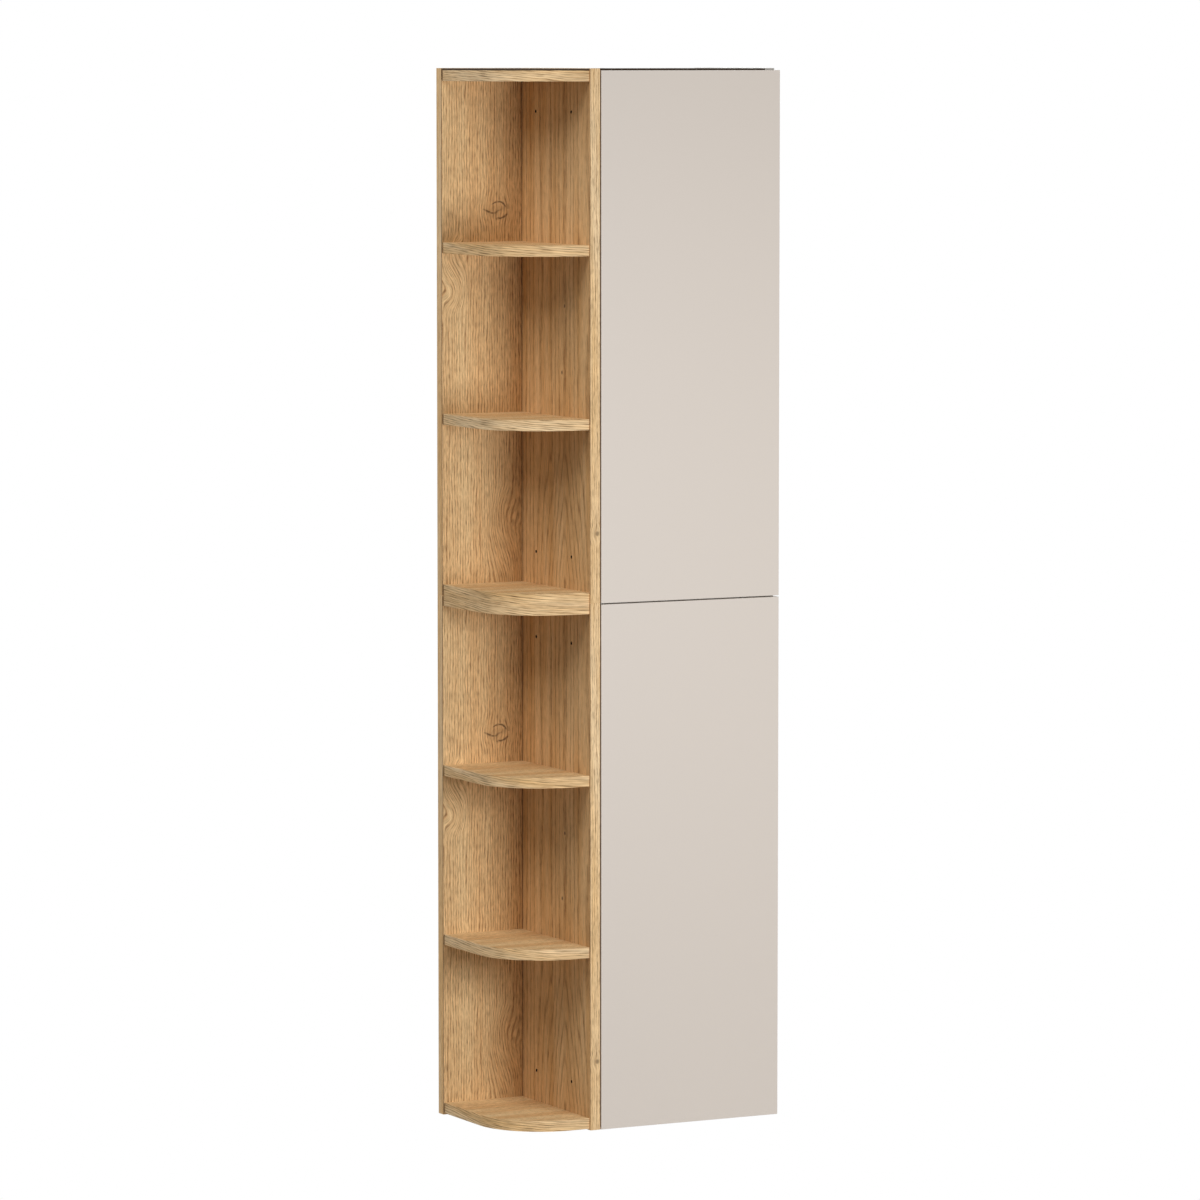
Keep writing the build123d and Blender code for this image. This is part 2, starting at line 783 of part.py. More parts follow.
# Hinge arms: two walls and a web, with a nose that holds the link's pin
arm_rear = pivot_y + arm_length
with BuildPart() as hinge_arms:
    for z in all_hinges:
        for way in (-1, 1):
            wall_low = z + way * (cheek_inner + arm_wall / 2) - arm_wall / 2
            with BuildSketch(Plane.XY.offset(wall_low)):
                with BuildLine():
                    Polyline(
                        (arm_left, pivot_y),
                        (arm_left, arm_rear),
                        (arm_right, arm_rear),
                        (arm_right, pivot_y + arm_shoulder),
                        (pivot_x + arm_nose_radius, pivot_y),
                        close=True,
                    )
                make_face()
                with Locations((pivot_x, pivot_y)):
                    Circle(arm_nose_radius)
            extrude(amount=arm_wall)
        slab((arm_left, arm_left + arm_web), (pivot_y + 2 * arm_nose_radius, arm_rear),
             (z - cheek_inner, z + cheek_inner))
        drill(UP, [(pivot_x, pivot_y, z + cheek_inner + arm_wall)],
              hinge_pin_radius + pin_hole_play, 2 * (cheek_inner + arm_wall))
    drill(LEFT, arm_screw_places, arm_screw_hole, arm_web)
save(hinge_arms, "hinge_arms")

with BuildPart() as arm_screws:
    with Locations(*seats(LEFT, arm_screw_places)):
        add(pan_screw(arm_screw_radius, arm_screw_length, arm_screw_head_radius,
                      arm_screw_head_height))
save(arm_screws, "hinge_arm_screws")

arm_pin_half = cheek_inner + arm_wall
with BuildPart() as arm_pins:
    with Locations(*seats(UP, [(pivot_x, pivot_y, z + arm_pin_half) for z in all_hinges])):
        add(plain_rod(hinge_pin_radius, 2 * arm_pin_half))
save(arm_pins, "hinge_arm_pins")

# Push latches on the left sides: a body with wings, bored for the plunger and its spring
bore_rear = latch_rear - latch_bore_end
plunger_rear = plunger_tip + plunger_length
with BuildPart() as latch_bodies:
    for z in latch_heights:
        slab((box_inner_left, latch_x + latch_body_half), (latch_front, latch_rear),
             (z - latch_body_half, z + latch_body_half))
        slab((box_inner_left, latch_face), (latch_rear - latch_wing_length, latch_rear),
             (z - latch_wing_half, z + latch_wing_half))
        drill(FRONT, [(latch_x, latch_front, z)], plunger_radius + plunger_play,
              bore_rear - latch_front)
        screw_places = [(latch_face, latch_plate_y, z + step * latch_screw_spacing / 2)
                        for step in (-1, 1)]
        drill(RIGHT, screw_places, small_screw_radius + screw_play, latch_wing_thickness)
save(latch_bodies, "push_latch_bodies")

# Latch springs, wound from the end of the bore to the reach of the pushed plunger
spring_front = plunger_rear + plunger_travel + spring_end_play
spring_length = bore_rear - spring_front - 2 * spring_wire
with BuildPart() as latch_springs:
    for z in latch_heights:
        coil = Helix(
            pitch=spring_length / spring_turns,
            height=spring_length,
            radius=spring_radius,
            center=(latch_x, spring_front + spring_wire, z),
            direction=WALL,
            mode=Mode.PRIVATE,
        )
        with BuildSketch(Plane(origin=coil @ 0, z_dir=coil % 0)) as wire:
            Circle(spring_wire)
        sweep(wire.sketch, path=coil, is_frenet=True)
save(latch_springs, "latch_springs")

# What moves, one set for each half
for half, hinges, latch_z in zip(halves, hinge_heights, latch_heights):
    door_base = halves[half]["door_base"]
    door_left = box_left + door_side_gap

    # Door panel with pockets for the hinge cups
    with BuildPart() as door:
        slab((door_left, right_end), (front, door_back), (door_base, door_base + door_height))
        fillet(door.faces().sort_by(Axis.Y)[0].edges(), edge_round)
        drill(WALL, [(cup_x, door_back, z) for z in hinges], cup_radius + cup_pocket_play,
              cup_depth + cup_pocket_play)
        cup_screws = [(cup_x - cup_screw_offset, door_back, z + step * cup_screw_spacing / 2)
                      for z in hinges for step in (-1, 1)]
        drill(WALL, cup_screws, small_screw_radius + screw_play,
              small_screw_length - flange_thickness)
    save(door, f"{half}_door")

    # Hinge cups: a flange on the door, a round pot, and two cheeks that hold the link's pin
    with BuildPart() as cups:
        for z in hinges:
            with BuildSketch(Plane.XZ.offset(-door_back)):
                with Locations((cup_x + (flange_outer - flange_inner) / 2, z)):
                    RectangleRounded(flange_inner + flange_outer, 2 * flange_half_length, flange_corner)
            extrude(amount=-flange_thickness)
            with BuildSketch(Plane.XZ.offset(-door_back)):
                with Locations((cup_x, z)):
                    Circle(cup_radius)
            extrude(amount=cup_depth)
            drill(WALL, [(cup_x, door_back + flange_thickness, z)], cup_radius - cup_wall,
                  cup_depth + flange_thickness - cup_floor)
            cup_bottom = door_back - cup_depth + cup_floor
            for way in (-1, 1):
                cheek = sorted((z + way * cheek_inner, z + way * cheek_outer))
                slab((cup_pin_x - cheek_half_width, cup_pin_x + cheek_half_width),
                     (cup_bottom, door_back - cheek_recess), cheek)
            drill(UP, [(cup_pin_x, cup_pin_y, z + cheek_outer)],
                  hinge_pin_radius + pin_hole_play, 2 * cheek_outer)
        places = [(cup_x - cup_screw_offset, door_back + flange_thickness,
                   z + step * cup_screw_spacing / 2) for z in hinges for step in (-1, 1)]
        drill(WALL, places, small_screw_radius + screw_play, flange_thickness)
    save(cups, f"{half}_hinge_cups")

    with BuildPart() as cup_pins:
        with Locations(*seats(UP, [(cup_pin_x, cup_pin_y, z + cheek_outer) for z in hinges])):
            add(plain_rod(hinge_pin_radius, 2 * cheek_outer))
    save(cup_pins, f"{half}_hinge_cup_pins")

    with BuildPart() as cup_screw_set:
        with Locations(*seats(WALL, places)):
            add(small_screw)
    save(cup_screw_set, f"{half}_hinge_cup_screws")

    # Hinge links: a bent plate with an eye for the arm's pin and one for the cup's pin
    with BuildPart() as links:
        for z in hinges:
            with BuildSketch(Plane.XY.offset(z - link_half_width)):
                with BuildLine():
                    Polyline(
                        (pivot_x, pivot_y),
                        (cup_pin_x - elbow_offset, cup_pin_y - elbow_drop),
                        (cup_pin_x, cup_pin_y),
                    )
                trace(line_width=link_thickness)
                with Locations((pivot_x, pivot_y), (cup_pin_x, cup_pin_y)):
                    Circle(link_eye_radius)
                with Locations((pivot_x, pivot_y), (cup_pin_x, cup_pin_y)):
                    Circle(hinge_pin_radius + pin_hole_play, mode=Mode.SUBTRACT)
            extrude(amount=2 * link_half_width)
    save(links, f"{half}_hinge_links")

    # The latch's plunger and the steel disc that it meets on the door
    with BuildPart() as plunger:
        with Locations(*seats(FRONT, [(latch_x, plunger_tip, latch_z)])):
            add(plain_rod(plunger_radius, plunger_length))
    save(plunger, f"{half}_latch_plunger")

    with BuildPart() as strike:
        with Locations(*seats(WALL, [(latch_x, strike_face, latch_z)])):
            add(plain_rod(strike_radius, strike_thickness))
    save(strike, f"{half}_latch_strike")

print("arm pins at", pivot_x, pivot_y, "and cup pins at", cup_pin_x, cup_pin_y)
print("hinge heights", all_hinges, "latch heights", latch_heights)
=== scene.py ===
# %% [markdown]
# # A wall column cabinet, dressed in Blender
#
# The cabinet is two equal halves, one above the other. On the left is an open end unit of oak-look
# board with rounded shelves. On the right is a closed box behind two matt taupe doors.
# The frame holds every piece at its real size, with the joints of the doors and latches. This script
# adds what the eye sees: the board faces and their edge bands, the door finish, the metal and plastic
# of the fittings, and a plain studio to look at them in.

# %% Load the frame
import json
import math

import bpy
from mathutils import Matrix, Vector


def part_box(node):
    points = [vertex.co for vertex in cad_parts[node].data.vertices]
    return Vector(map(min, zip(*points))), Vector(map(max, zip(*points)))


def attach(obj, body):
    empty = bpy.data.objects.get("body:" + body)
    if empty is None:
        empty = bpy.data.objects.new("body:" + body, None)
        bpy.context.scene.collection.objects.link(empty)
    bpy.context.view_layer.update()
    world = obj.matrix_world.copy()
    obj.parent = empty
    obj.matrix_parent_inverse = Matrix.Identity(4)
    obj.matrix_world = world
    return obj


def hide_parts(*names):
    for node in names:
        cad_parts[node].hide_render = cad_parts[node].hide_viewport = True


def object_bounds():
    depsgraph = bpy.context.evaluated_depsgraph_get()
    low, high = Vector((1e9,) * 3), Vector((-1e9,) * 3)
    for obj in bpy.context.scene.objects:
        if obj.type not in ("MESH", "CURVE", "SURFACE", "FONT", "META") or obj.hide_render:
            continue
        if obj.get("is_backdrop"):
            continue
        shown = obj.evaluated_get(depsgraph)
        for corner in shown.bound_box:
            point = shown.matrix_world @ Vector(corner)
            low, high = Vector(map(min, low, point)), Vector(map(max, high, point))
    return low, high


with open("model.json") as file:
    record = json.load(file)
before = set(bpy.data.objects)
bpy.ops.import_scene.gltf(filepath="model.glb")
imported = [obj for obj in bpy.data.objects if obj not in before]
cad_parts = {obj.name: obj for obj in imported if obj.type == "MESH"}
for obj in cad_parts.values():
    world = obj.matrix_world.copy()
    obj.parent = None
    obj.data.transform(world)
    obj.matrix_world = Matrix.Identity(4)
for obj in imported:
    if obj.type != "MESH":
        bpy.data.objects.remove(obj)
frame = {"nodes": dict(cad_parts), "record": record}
cad_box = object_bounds()
print("cabinet spans", [round(v, 4) for v in cad_box[0]], "to", [round(v, 4) for v in cad_box[1]])

# %% [markdown]
# ## Units and places
#
# Blender works in metres, and a cabinet maker in millimetres. One factor turns millimetres to metres.
# Places are read from the frame, so that nothing is measured twice.

# %% Read the main places from the frame
MM = 0.001
halves = ("lower", "upper")
cabinet_low, cabinet_high = cad_box
module_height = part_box("upper_oak_side_panel")[0].z / MM
print("each half is", round(module_height), "mm tall")

# %% [markdown]
# ## The camera
#
# The cabinet is seen from its front left, a little from above, and from far away, so that its upright
# edges stay almost parallel. A long lens does that. The camera is turned, not shifted, so that it also
# frames the cabinet well from any other side.

# %% Place the camera
camera_place = Vector((-4.2313, -8.2059, 1.5959))
camera_turn = math.radians(-27.203)
camera_tilt = math.radians(90 - 5.075)
lens_length = 186.08

camera_data = bpy.data.cameras.new("camera")
camera_data.lens = lens_length
camera_data.clip_start = 0.1
camera_data.clip_end = 200
camera = bpy.data.objects.new("camera", camera_data)
camera.location = camera_place
camera.rotation_euler = (camera_tilt, 0, camera_turn)
bpy.context.scene.collection.objects.link(camera)
bpy.context.scene.camera = camera
print("camera is", round((camera_place - (cabinet_low + cabinet_high) / 2).length, 2), "m away")

# %% [markdown]
# ## Colours and nodes
#
# Colours are written as sRGB hex values, the way a colour chart gives them, and Blender wants them
# linear. One function does that. A second one adds a shader node: it sets the node's options, and
# fills each input with a value or with a link from another node.


# %% Turn a hex colour to linear light
def linear(hex_colour):
    """An sRGB hex colour as linear RGBA."""
    channels = [int(hex_colour[i:i + 2], 16) / 255 for i in (1, 3, 5)]
    return [c / 12.92 if c <= 0.04045 else ((c + 0.055) / 1.055) ** 2.4 for c in channels] + [1]


# %% Add a node with its settings and links
def add_node(tree, kind, inputs=None, **options):
    """Adds a shader node. An input takes a number, a colour, an output, or a node's first output."""
    node = tree.nodes.new("ShaderNode" + kind)
    for option, value in options.items():
        setattr(node, option, value)
    for socket, value in (inputs or {}).items():
        if isinstance(value, bpy.types.Node):
            value = value.outputs[0]
        if isinstance(value, bpy.types.NodeSocket):
            tree.links.new(value, node.inputs[socket])
        else:
            node.inputs[socket].default_value = value
    return node


# %% Start a material
def new_material(name):
    """A material with an empty node tree, its surface shader and its output."""
    material = bpy.data.materials.new(name)
    material.use_nodes = True
    tree = material.node_tree
    tree.nodes.clear()
    shader = add_node(tree, "BsdfPrincipled")
    add_node(tree, "OutputMaterial", {"Surface": shader})
    return material, tree, shader


# %% [markdown]
# ## Oak-look board
#
# Real boards of this kind are chipboard with a printed and embossed paper pressed on each face, and
# edge bands glued round the rim. The print shows oak: rows of short dark pores a few millimetres
# apart, one row for each year of the tree, wandering a little, over broad bands of paler and warmer
# wood, and here and there a knot that the rows flow round.
# The grain could be a photograph laid on the board. Here it is worked out from each point's place, so
# that it stays sharp from close by and runs on over the whole panel.
#
# Every point first gets two numbers in millimetres: how far it lies along the grain and how far
# across it. The print on a board repeats with each half of the cabinet, so the first number can start
# again at every half.


# %% Places along and across the grain
def grain_places(tree, along, across, repeat=None):
    """Millimetres along and across the grain, as two node outputs."""
    place = add_node(tree, "TexCoord").outputs["Object"]
    run = add_node(tree, "VectorMath", {0: place, 1: [c / MM for c in along]},
                   operation="DOT_PRODUCT").outputs["Value"]
    side = add_node(tree, "VectorMath", {0: place, 1: [c / MM for c in across]},
                    operation="DOT_PRODUCT").outputs["Value"]
    if repeat:
        run = add_node(tree, "Math", {0: run, 1: repeat}, operation="FLOORED_MODULO").outputs[0]
    return run, side


# %% [markdown]
# Noise makes the unevenness of wood, when it is drawn out along the grain. The noise is asked for at a
# place divided by a length and a width, so its blots are that long and that wide in millimetres. The
# seed takes it from another layer of the noise, so that no two uses of it look alike. Its values lie
# mostly between 0.3 and 0.7, and the Map Range nodes below cut what they need out of that.


# %% Noise drawn out along the grain
def grain_noise(tree, run, side, length, width, seed, detail=1.0):
    """Noise from 0 to 1 whose blots are about length long and width wide, in millimetres."""
    place = add_node(tree, "CombineXYZ", {0: side, 1: run, 2: seed})
    place = add_node(tree, "VectorMath", {0: place, 1: (width, length, 1)}, operation="DIVIDE")
    return add_node(tree, "TexNoise", {"Vector": place, "Scale": 1.0, "Detail": detail})


# %% [markdown]
# ### What disturbs the grain
#
# Near a knot the rows bend round it. That is done by drawing the pattern's places apart there: a point
# close to the knot's middle takes the pattern of a point closer still. Each function below takes the
# two places, and gives back the place across the grain as the wood's growth moved it, with a mask of
# what is drawn dark there.


# %% How far a point is from a place, in given lengths
def offset_from(tree, run, side, middle_run, middle_side, length, width):
    """The offset from a middle, 1 at a length along the grain or a width across it, and its size."""
    place = add_node(tree, "CombineXYZ", {0: side, 1: run, 2: 0.0})
    offset = add_node(tree, "VectorMath", {0: place, 1: (middle_side, middle_run, 0)},
                      operation="SUBTRACT")
    offset = add_node(tree, "VectorMath", {0: offset, 1: (width, length, 1)}, operation="DIVIDE")
    return offset, add_node(tree, "VectorMath", {0: offset}, operation="LENGTH").outputs["Value"]


# %% Let the grain flow round a knot
# Three times its own length and width away from a knot, the grain is back in its place.
flow_reach = 3.0


def flow_round(tree, run, side, middle_run, middle_side, length, width, strength=0.8):
    """The place across the grain, drawn towards the knot's middle line close to the knot."""
    reach = offset_from(tree, run, side, middle_run, middle_side, length, width)[1]
    pull = add_node(tree, "MapRange", {"Value": reach, "From Max": flow_reach, "To Min": -strength,
                                       "To Max": 0.0}, interpolation_type="SMOOTHSTEP")
    from_middle = add_node(tree, "Math", {0: side, 1: middle_side}, operation="SUBTRACT")
    return add_node(tree, "Math", {0: from_middle, 1: pull, 2: side}, operation="MULTIPLY_ADD")


# %% A pin knot
# The dark speck is a little longer than wide, and so is the flow round it. All are shares of its size.
speck_length, speck_width = 0.6, 0.5
knot_width = 0.8


def pin_knot(tree, run, side, middle_run, middle_side, size, darkness=1.0):
    """A dark speck a few millimetres wide, with the grain flowing round it."""
    reach = offset_from(tree, run, side, middle_run, middle_side, size * speck_length,
                        size * speck_width)[1]
    speck = add_node(tree, "MapRange", {"Value": reach, "From Min": 0.5, "From Max": 1.1,
                                        "To Min": darkness, "To Max": 0.0})
    return flow_round(tree, run, side, middle_run, middle_side, size, size * knot_width), speck


# %% [markdown]
# A swirl is the trace of a grown-over twig: a few dark strokes, each a piece of a broken ring. A stroke
# is told by the middle of its ring, the ring's two radii in millimetres, the angles where it starts
# and ends, and how dark it is. A little noise makes it waver and wear thin, as a printed line does.


# %% One stroke of a swirl
# A stroke has faded out this far from its middle line, and it wavers by this much, in millimetres, over
# about 7 mm of its length. Wear is finer still. A tip fades out between two shares of the half length.
stroke_reach = 2.6
stroke_waver = 3.0
waver_length = 7
wear_size = (3, 5)
tip_start, tip_end = 0.8, 1.1


def ring_stroke(tree, run, side, middle_run, middle_side, length, width, start, end):
    """1 on a piece of a ring, between two angles in degrees, 0 elsewhere."""
    offset, reach = offset_from(tree, run, side, middle_run, middle_side, length, width)
    waver = grain_noise(tree, run, side, waver_length, waver_length, 4.0)
    from_ring = add_node(tree, "Math", {0: reach, 1: 1.0}, operation="SUBTRACT")
    from_ring = add_node(tree, "Math", {0: from_ring, 1: width}, operation="MULTIPLY")
    aside = add_node(tree, "Math", {0: waver, 1: 0.5}, operation="SUBTRACT")
    from_ring = add_node(tree, "Math", {0: aside, 1: stroke_waver, 2: from_ring},
                         operation="MULTIPLY_ADD")
    from_ring = add_node(tree, "Math", {0: from_ring}, operation="ABSOLUTE")
    line = add_node(tree, "MapRange", {"Value": from_ring, "From Max": stroke_reach,
                                       "To Min": 1.0, "To Max": 0.0},
                    interpolation_type="SMOOTHSTEP")
    parts = add_node(tree, "SeparateXYZ", {0: offset})
    angle = add_node(tree, "Math", {0: parts.outputs[1], 1: parts.outputs[0]}, operation="ARCTAN2")
    turned = add_node(tree, "Math", {0: angle, 1: -math.radians((start + end) / 2)}, operation="ADD")
    turned = add_node(tree, "Math", {0: turned, 1: -math.pi, 2: math.pi}, operation="WRAP")
    turned = add_node(tree, "Math", {0: turned}, operation="ABSOLUTE")
    half_span = math.radians((end - start) / 2)
    within = add_node(tree, "MapRange", {"Value": turned, "From Min": half_span * tip_start,
                                         "From Max": half_span * tip_end, "To Min": 1.0,
                                         "To Max": 0.0})
    wear = grain_noise(tree, run, side, *wear_size, 6.0)
    wear = add_node(tree, "MapRange", {"Value": wear, "From Min": 0.35, "From Max": 0.5,
                                       "To Min": 0.5, "To Max": 1.0})
    line = add_node(tree, "Math", {0: line, 1: wear}, operation="MULTIPLY")
    return add_node(tree, "Math", {0: line, 1: within}, operation="MULTIPLY")


# %% The swirl
# Each stroke: its ring's middle, up and aside from the swirl's, the ring's radii along and across the
# grain, the angles where it starts and ends, and its darkness.
swirl_strokes = ((1.0, 3.0, 11.0, 12.5, 10, 145, 1.0),
                 (30.9, -1.3, 36.0, 36.0, -124, -94, 1.0),
                 (-29.5, 15.0, 30.0, 30.0, 102, 128, 0.7),
                 (9.0, 2.0, 22.3, 22.3, -97, -42, 1.0),
                 (2.0, 3.0, 14.0, 16.5, -5, 28, 0.5))
swirl_size = (11, 14)
swirl_flow = 0.4


def swirl(tree, run, side, middle_run, middle_side):
    """A swirl some 43 mm wide and 27 mm high, with the grain flowing a little round it."""
    mark = 0.0
    for up, aside, length, width, start, end, strength in swirl_strokes:
        line = ring_stroke(tree, run, side, middle_run + up, middle_side + aside, length, width,
                           start, end)
        line = add_node(tree, "Math", {0: line, 1: strength}, operation="MULTIPLY")
        mark = add_node(tree, "Math", {0: line, 1: mark}, operation="MAXIMUM")
    return flow_round(tree, run, side, middle_run, middle_side, *swirl_size, swirl_flow), mark


# %% [markdown]
# The grain leans where the trunk bulged, and the rows cross the board at a slant there. The slant is
# full in the middle of the patch and dies out beyond its rim. No mark is drawn with it.


# %% Let the grain lean
def leaning(tree, run, side, middle_run, middle_side, length, width, slope):
    """The place across the grain, slanting within an oval patch."""
    reach = offset_from(tree, run, side, middle_run, middle_side, length, width)[1]
    share = add_node(tree, "MapRange", {"Value": reach, "From Min": 0.3, "From Max": 1.4,
                                        "To Min": slope, "To Max": 0.0},
                     interpolation_type="SMOOTHSTEP")
    above = add_node(tree, "Math", {0: run, 1: middle_run}, operation="SUBTRACT")
    return add_node(tree, "Math", {0: above, 1: share, 2: side}, operation="MULTIPLY_ADD"), None


# %% [markdown]
# A board sawn off the middle of the log shows nested arches, where the year rows run out of the face.
# Their count is the distance from the arches' middle line, plus a share that grows up the board, so
# that each row turns over at its own height. Close to the middle line the distance is rounded off a
# little, or the arches would have sharp tops. Away from it the rows run straight up again.


# %% Bend the rows into nested arches
# In row spacings.
arch_top_radius = 0.6


def arch_rows(tree, run, side, spacing, middle_side, low_run, high_run, pitch, spread):
    """The row count at a point, where rows nest as arches round a middle line."""
    from_middle = add_node(tree, "Math", {0: side, 1: middle_side}, operation="SUBTRACT")
    square = add_node(tree, "Math", {0: from_middle, 1: from_middle}, operation="MULTIPLY")
    blunt = add_node(tree, "Math", {0: square, 1: (spacing * arch_top_radius) ** 2}, operation="ADD")
    distance = add_node(tree, "Math", {0: blunt}, operation="SQRT")
    rows = add_node(tree, "Math", {0: distance, 1: spacing}, operation="DIVIDE")
    climb = add_node(tree, "MapRange", {"Value": run, "From Min": low_run, "From Max": high_run,
                                        "To Max": (high_run - low_run) / pitch})
    near = add_node(tree, "MapRange", {"Value": distance, "From Min": spread / 3, "From Max": spread,
                                       "To Min": 1.0, "To Max": 0.0}, interpolation_type="SMOOTHSTEP")
    return add_node(tree, "Math", {0: climb, 1: near, 2: rows}, operation="MULTIPLY_ADD")


# %% [markdown]
# ### The print
#
# The decor is built up in layers, as a printer builds it with one roller for each ink. First come the
# year rows. The row count, with some noise, is cut to its fraction, which gives each row one thin dark
# line, and more noise thins the line out in places. The rows drift slowly and waver quickly, they are
# closer in some years than in others, and they fade here and there.


# %% The year rows
# How long along the grain and how wide across it each of these four changes is, in millimetres.
drift_size = (260, 60)
waver_size = (30, 12)
closeness_size = (200, 14)
fading_size = (34, 7)
# Rows waver by this share of what they drift.
waver_share = 0.4


def year_rows(tree, run, side, seed, spacing, width, wander, unevenness, gaps, arches):
    """A mask of thin rows, and the place across the grain as the rows wander."""
    drift = grain_noise(tree, run, side, *drift_size, seed)
    waver = grain_noise(tree, run, side, *waver_size, seed + 3)
    moved = add_node(tree, "Math", {0: drift, 1: wander, 2: side}, operation="MULTIPLY_ADD")
    moved = add_node(tree, "Math", {0: waver, 1: wander * waver_share, 2: moved},
                     operation="MULTIPLY_ADD")
    if arches:
        rows = arch_rows(tree, run, moved, spacing, *arches)
    else:
        rows = add_node(tree, "Math", {0: moved, 1: spacing}, operation="DIVIDE")
    uneven = grain_noise(tree, run, moved, *closeness_size, seed + 5)
    rows = add_node(tree, "Math", {0: uneven, 1: unevenness, 2: rows}, operation="MULTIPLY_ADD")
    phase = add_node(tree, "Math", {0: rows, 1: 0.5}, operation="PINGPONG")
    row = add_node(tree, "MapRange", {"Value": phase, "From Max": width / spacing,
                                      "To Min": 1.0, "To Max": 0.0}, interpolation_type="SMOOTHSTEP")
    patches = grain_noise(tree, run, moved, *fading_size, seed + 17)
    patch = add_node(tree, "MapRange", {"Value": patches, "From Min": 0.32, "From Max": 0.66,
                                        "To Min": gaps, "To Max": 1.0})
    return add_node(tree, "Math", {0: row, 1: patch}, operation="MULTIPLY"), moved


# %% [markdown]
# Noise drawn out to short dashes gives the pores, which are thickest in the rows. Real pores are a
# third of a millimetre wide. These are four times as coarse, so that they still show from a few
# metres away. They are also pressed into the surface, so they give the bump.


# %% The pores
# Outside the rows a pore is only this dark.
lone_pore = 0.4


def pore_dashes(tree, run, moved, row, seed, length, width):
    """A mask of short dashes along the grain."""
    dashes = grain_noise(tree, run, moved, length, width, seed + 7, detail=2)
    dash = add_node(tree, "MapRange", {"Value": dashes, "From Min": 0.47, "From Max": 0.62})
    crowd = add_node(tree, "Math", {0: row, 1: 1 - lone_pore, 2: lone_pore}, operation="MULTIPLY_ADD")
    return add_node(tree, "Math", {0: dash, 1: crowd}, operation="MULTIPLY")


# %% [markdown]
# Under the rows and pores lies the ground colour: broad bands of paler and warmer wood, and on one
# panel warmer, darker wood towards one side, partly the print and partly painted shade of the inner
# corner. A Mix node has sockets for numbers, for vectors and for colours, and the two for colours are
# numbered 6 and 7. The colour that comes out is its output 2.


# %% The ground colour
# Bands this long and wide, in millimetres. Where one side is warmer and darker, partly print and partly
# painted shade, that ramp decides more than they do.
band_size = (400, 22)
side_share = 0.6


def ground_colour(tree, run, side, moved, pale, warm, seed, corner_warmth_and_shade):
    """Pale and warm wood in broad bands."""
    bands = grain_noise(tree, run, moved, *band_size, seed + 11, detail=3)
    share = add_node(tree, "MapRange", {"Value": bands, "From Min": 0.36, "From Max": 0.64})
    # Towards one side the wood turns warmer and darker, partly print and partly painted shade.
    if corner_warmth_and_shade:
        low, high = corner_warmth_and_shade
        ramp = add_node(tree, "MapRange", {"Value": side, "From Min": low, "From Max": high,
                                           "To Min": 0.2, "To Max": 1.0})
        share = add_node(tree, "Mix", {"Factor": side_share, "A": share, "B": ramp})
    return add_node(tree, "Mix", {"Factor": share, 6: pale, 7: warm}, data_type="RGBA").outputs[2]


# %% [markdown]
# The material puts these together, with long fine noise for the fibres between the rows. Pores are a
# little duller than the paper round them, and the paper itself hardly shines.


# %% The oak decor
# Fibres lighten and darken the wood by a fifth. Knots and strokes are almost wholly of the mark colour.
fibre_width = 2.0
fibre_change = 0.2
mark_colour = linear("#5A4633")
mark_share = 0.85
pore_depth = 0.08 * MM


def oak_material(name, along, across, tones, seed, repeat=None, row_spacing=5.0, row_strength=0.3,
                 row_width=1.3, pore_width=1.2, pore_length=7.0, pore_strength=0.7, fibre_length=20.0,
                 wander=8.0, unevenness=2.0, row_gaps=0.25, corner_warmth_and_shade=None, features=(), arches=None):
    """Printed oak. tones are hex colours for pale wood, warm wood, dark rows and pores.

    The directions along and across the grain are vectors, and the other sizes are millimetres."""
    material, tree, shader = new_material(name)
    run, side = grain_places(tree, along, across, repeat)
    marks = []
    for feature, *settings in features:
        side, mark = feature(tree, run, side, *settings)
        if mark:
            marks.append(mark)

    row, moved = year_rows(tree, run, side, seed, row_spacing, row_width, wander, unevenness,
                           row_gaps, arches)
    pit = pore_dashes(tree, run, moved, row, seed, pore_length, pore_width)
    fibres = grain_noise(tree, run, moved, fibre_length, fibre_width, seed + 13, detail=3)

    pale, warm, dark, pore = [linear(tone) for tone in tones]
    colour = ground_colour(tree, run, side, moved, pale, warm, seed, corner_warmth_and_shade)
    share = add_node(tree, "Math", {0: row, 1: row_strength}, operation="MULTIPLY")
    colour = add_node(tree, "Mix", {"Factor": share, 6: colour, 7: dark}, data_type="RGBA").outputs[2]
    share = add_node(tree, "Math", {0: pit, 1: pore_strength}, operation="MULTIPLY")
    colour = add_node(tree, "Mix", {"Factor": share, 6: colour, 7: pore}, data_type="RGBA").outputs[2]
    for mark in marks:
        share = add_node(tree, "Math", {0: mark, 1: mark_share}, operation="MULTIPLY")
        colour = add_node(tree, "Mix", {"Factor": share, 6: colour, 7: mark_colour},
                          data_type="RGBA").outputs[2]
    shade = add_node(tree, "MapRange", {"Value": fibres, "From Min": 0.3, "From Max": 0.7,
                                        "To Min": 1 - fibre_change, "To Max": 1 + fibre_change})
    colour = add_node(tree, "VectorMath", {0: colour, "Scale": shade}, operation="SCALE")
    tree.links.new(colour.outputs[0], shader.inputs["Base Color"])
    gloss = add_node(tree, "MapRange", {"Value": pit, "To Min": 0.58, "To Max": 0.72})
    tree.links.new(gloss.outputs[0], shader.inputs["Roughness"])
    shader.inputs["Specular IOR Level"].default_value = 0.1
    height = add_node(tree, "Math", {0: pit, 1: -1.0}, operation="MULTIPLY")
    bump = add_node(tree, "Bump", {"Height": height, "Strength": 0.5, "Distance": pore_depth})
    tree.links.new(bump.outputs[0], shader.inputs["Normal"])
    return material


# %% [markdown]
# ### The oak finishes
#
# Every board is cut from another place of the decor paper, so each kind of face gets its own print.
# The places of knots, swirls and slants are millimetres up each half of the cabinet, and across.


# %% Make the oak finishes of the upright panels
face_tones = ("#EACB99", "#DAAF7A", "#95663B", "#5C3A1C")
side_tones = ("#E4BC89", "#D4A66F", "#8A5E36", "#5C3A1C")
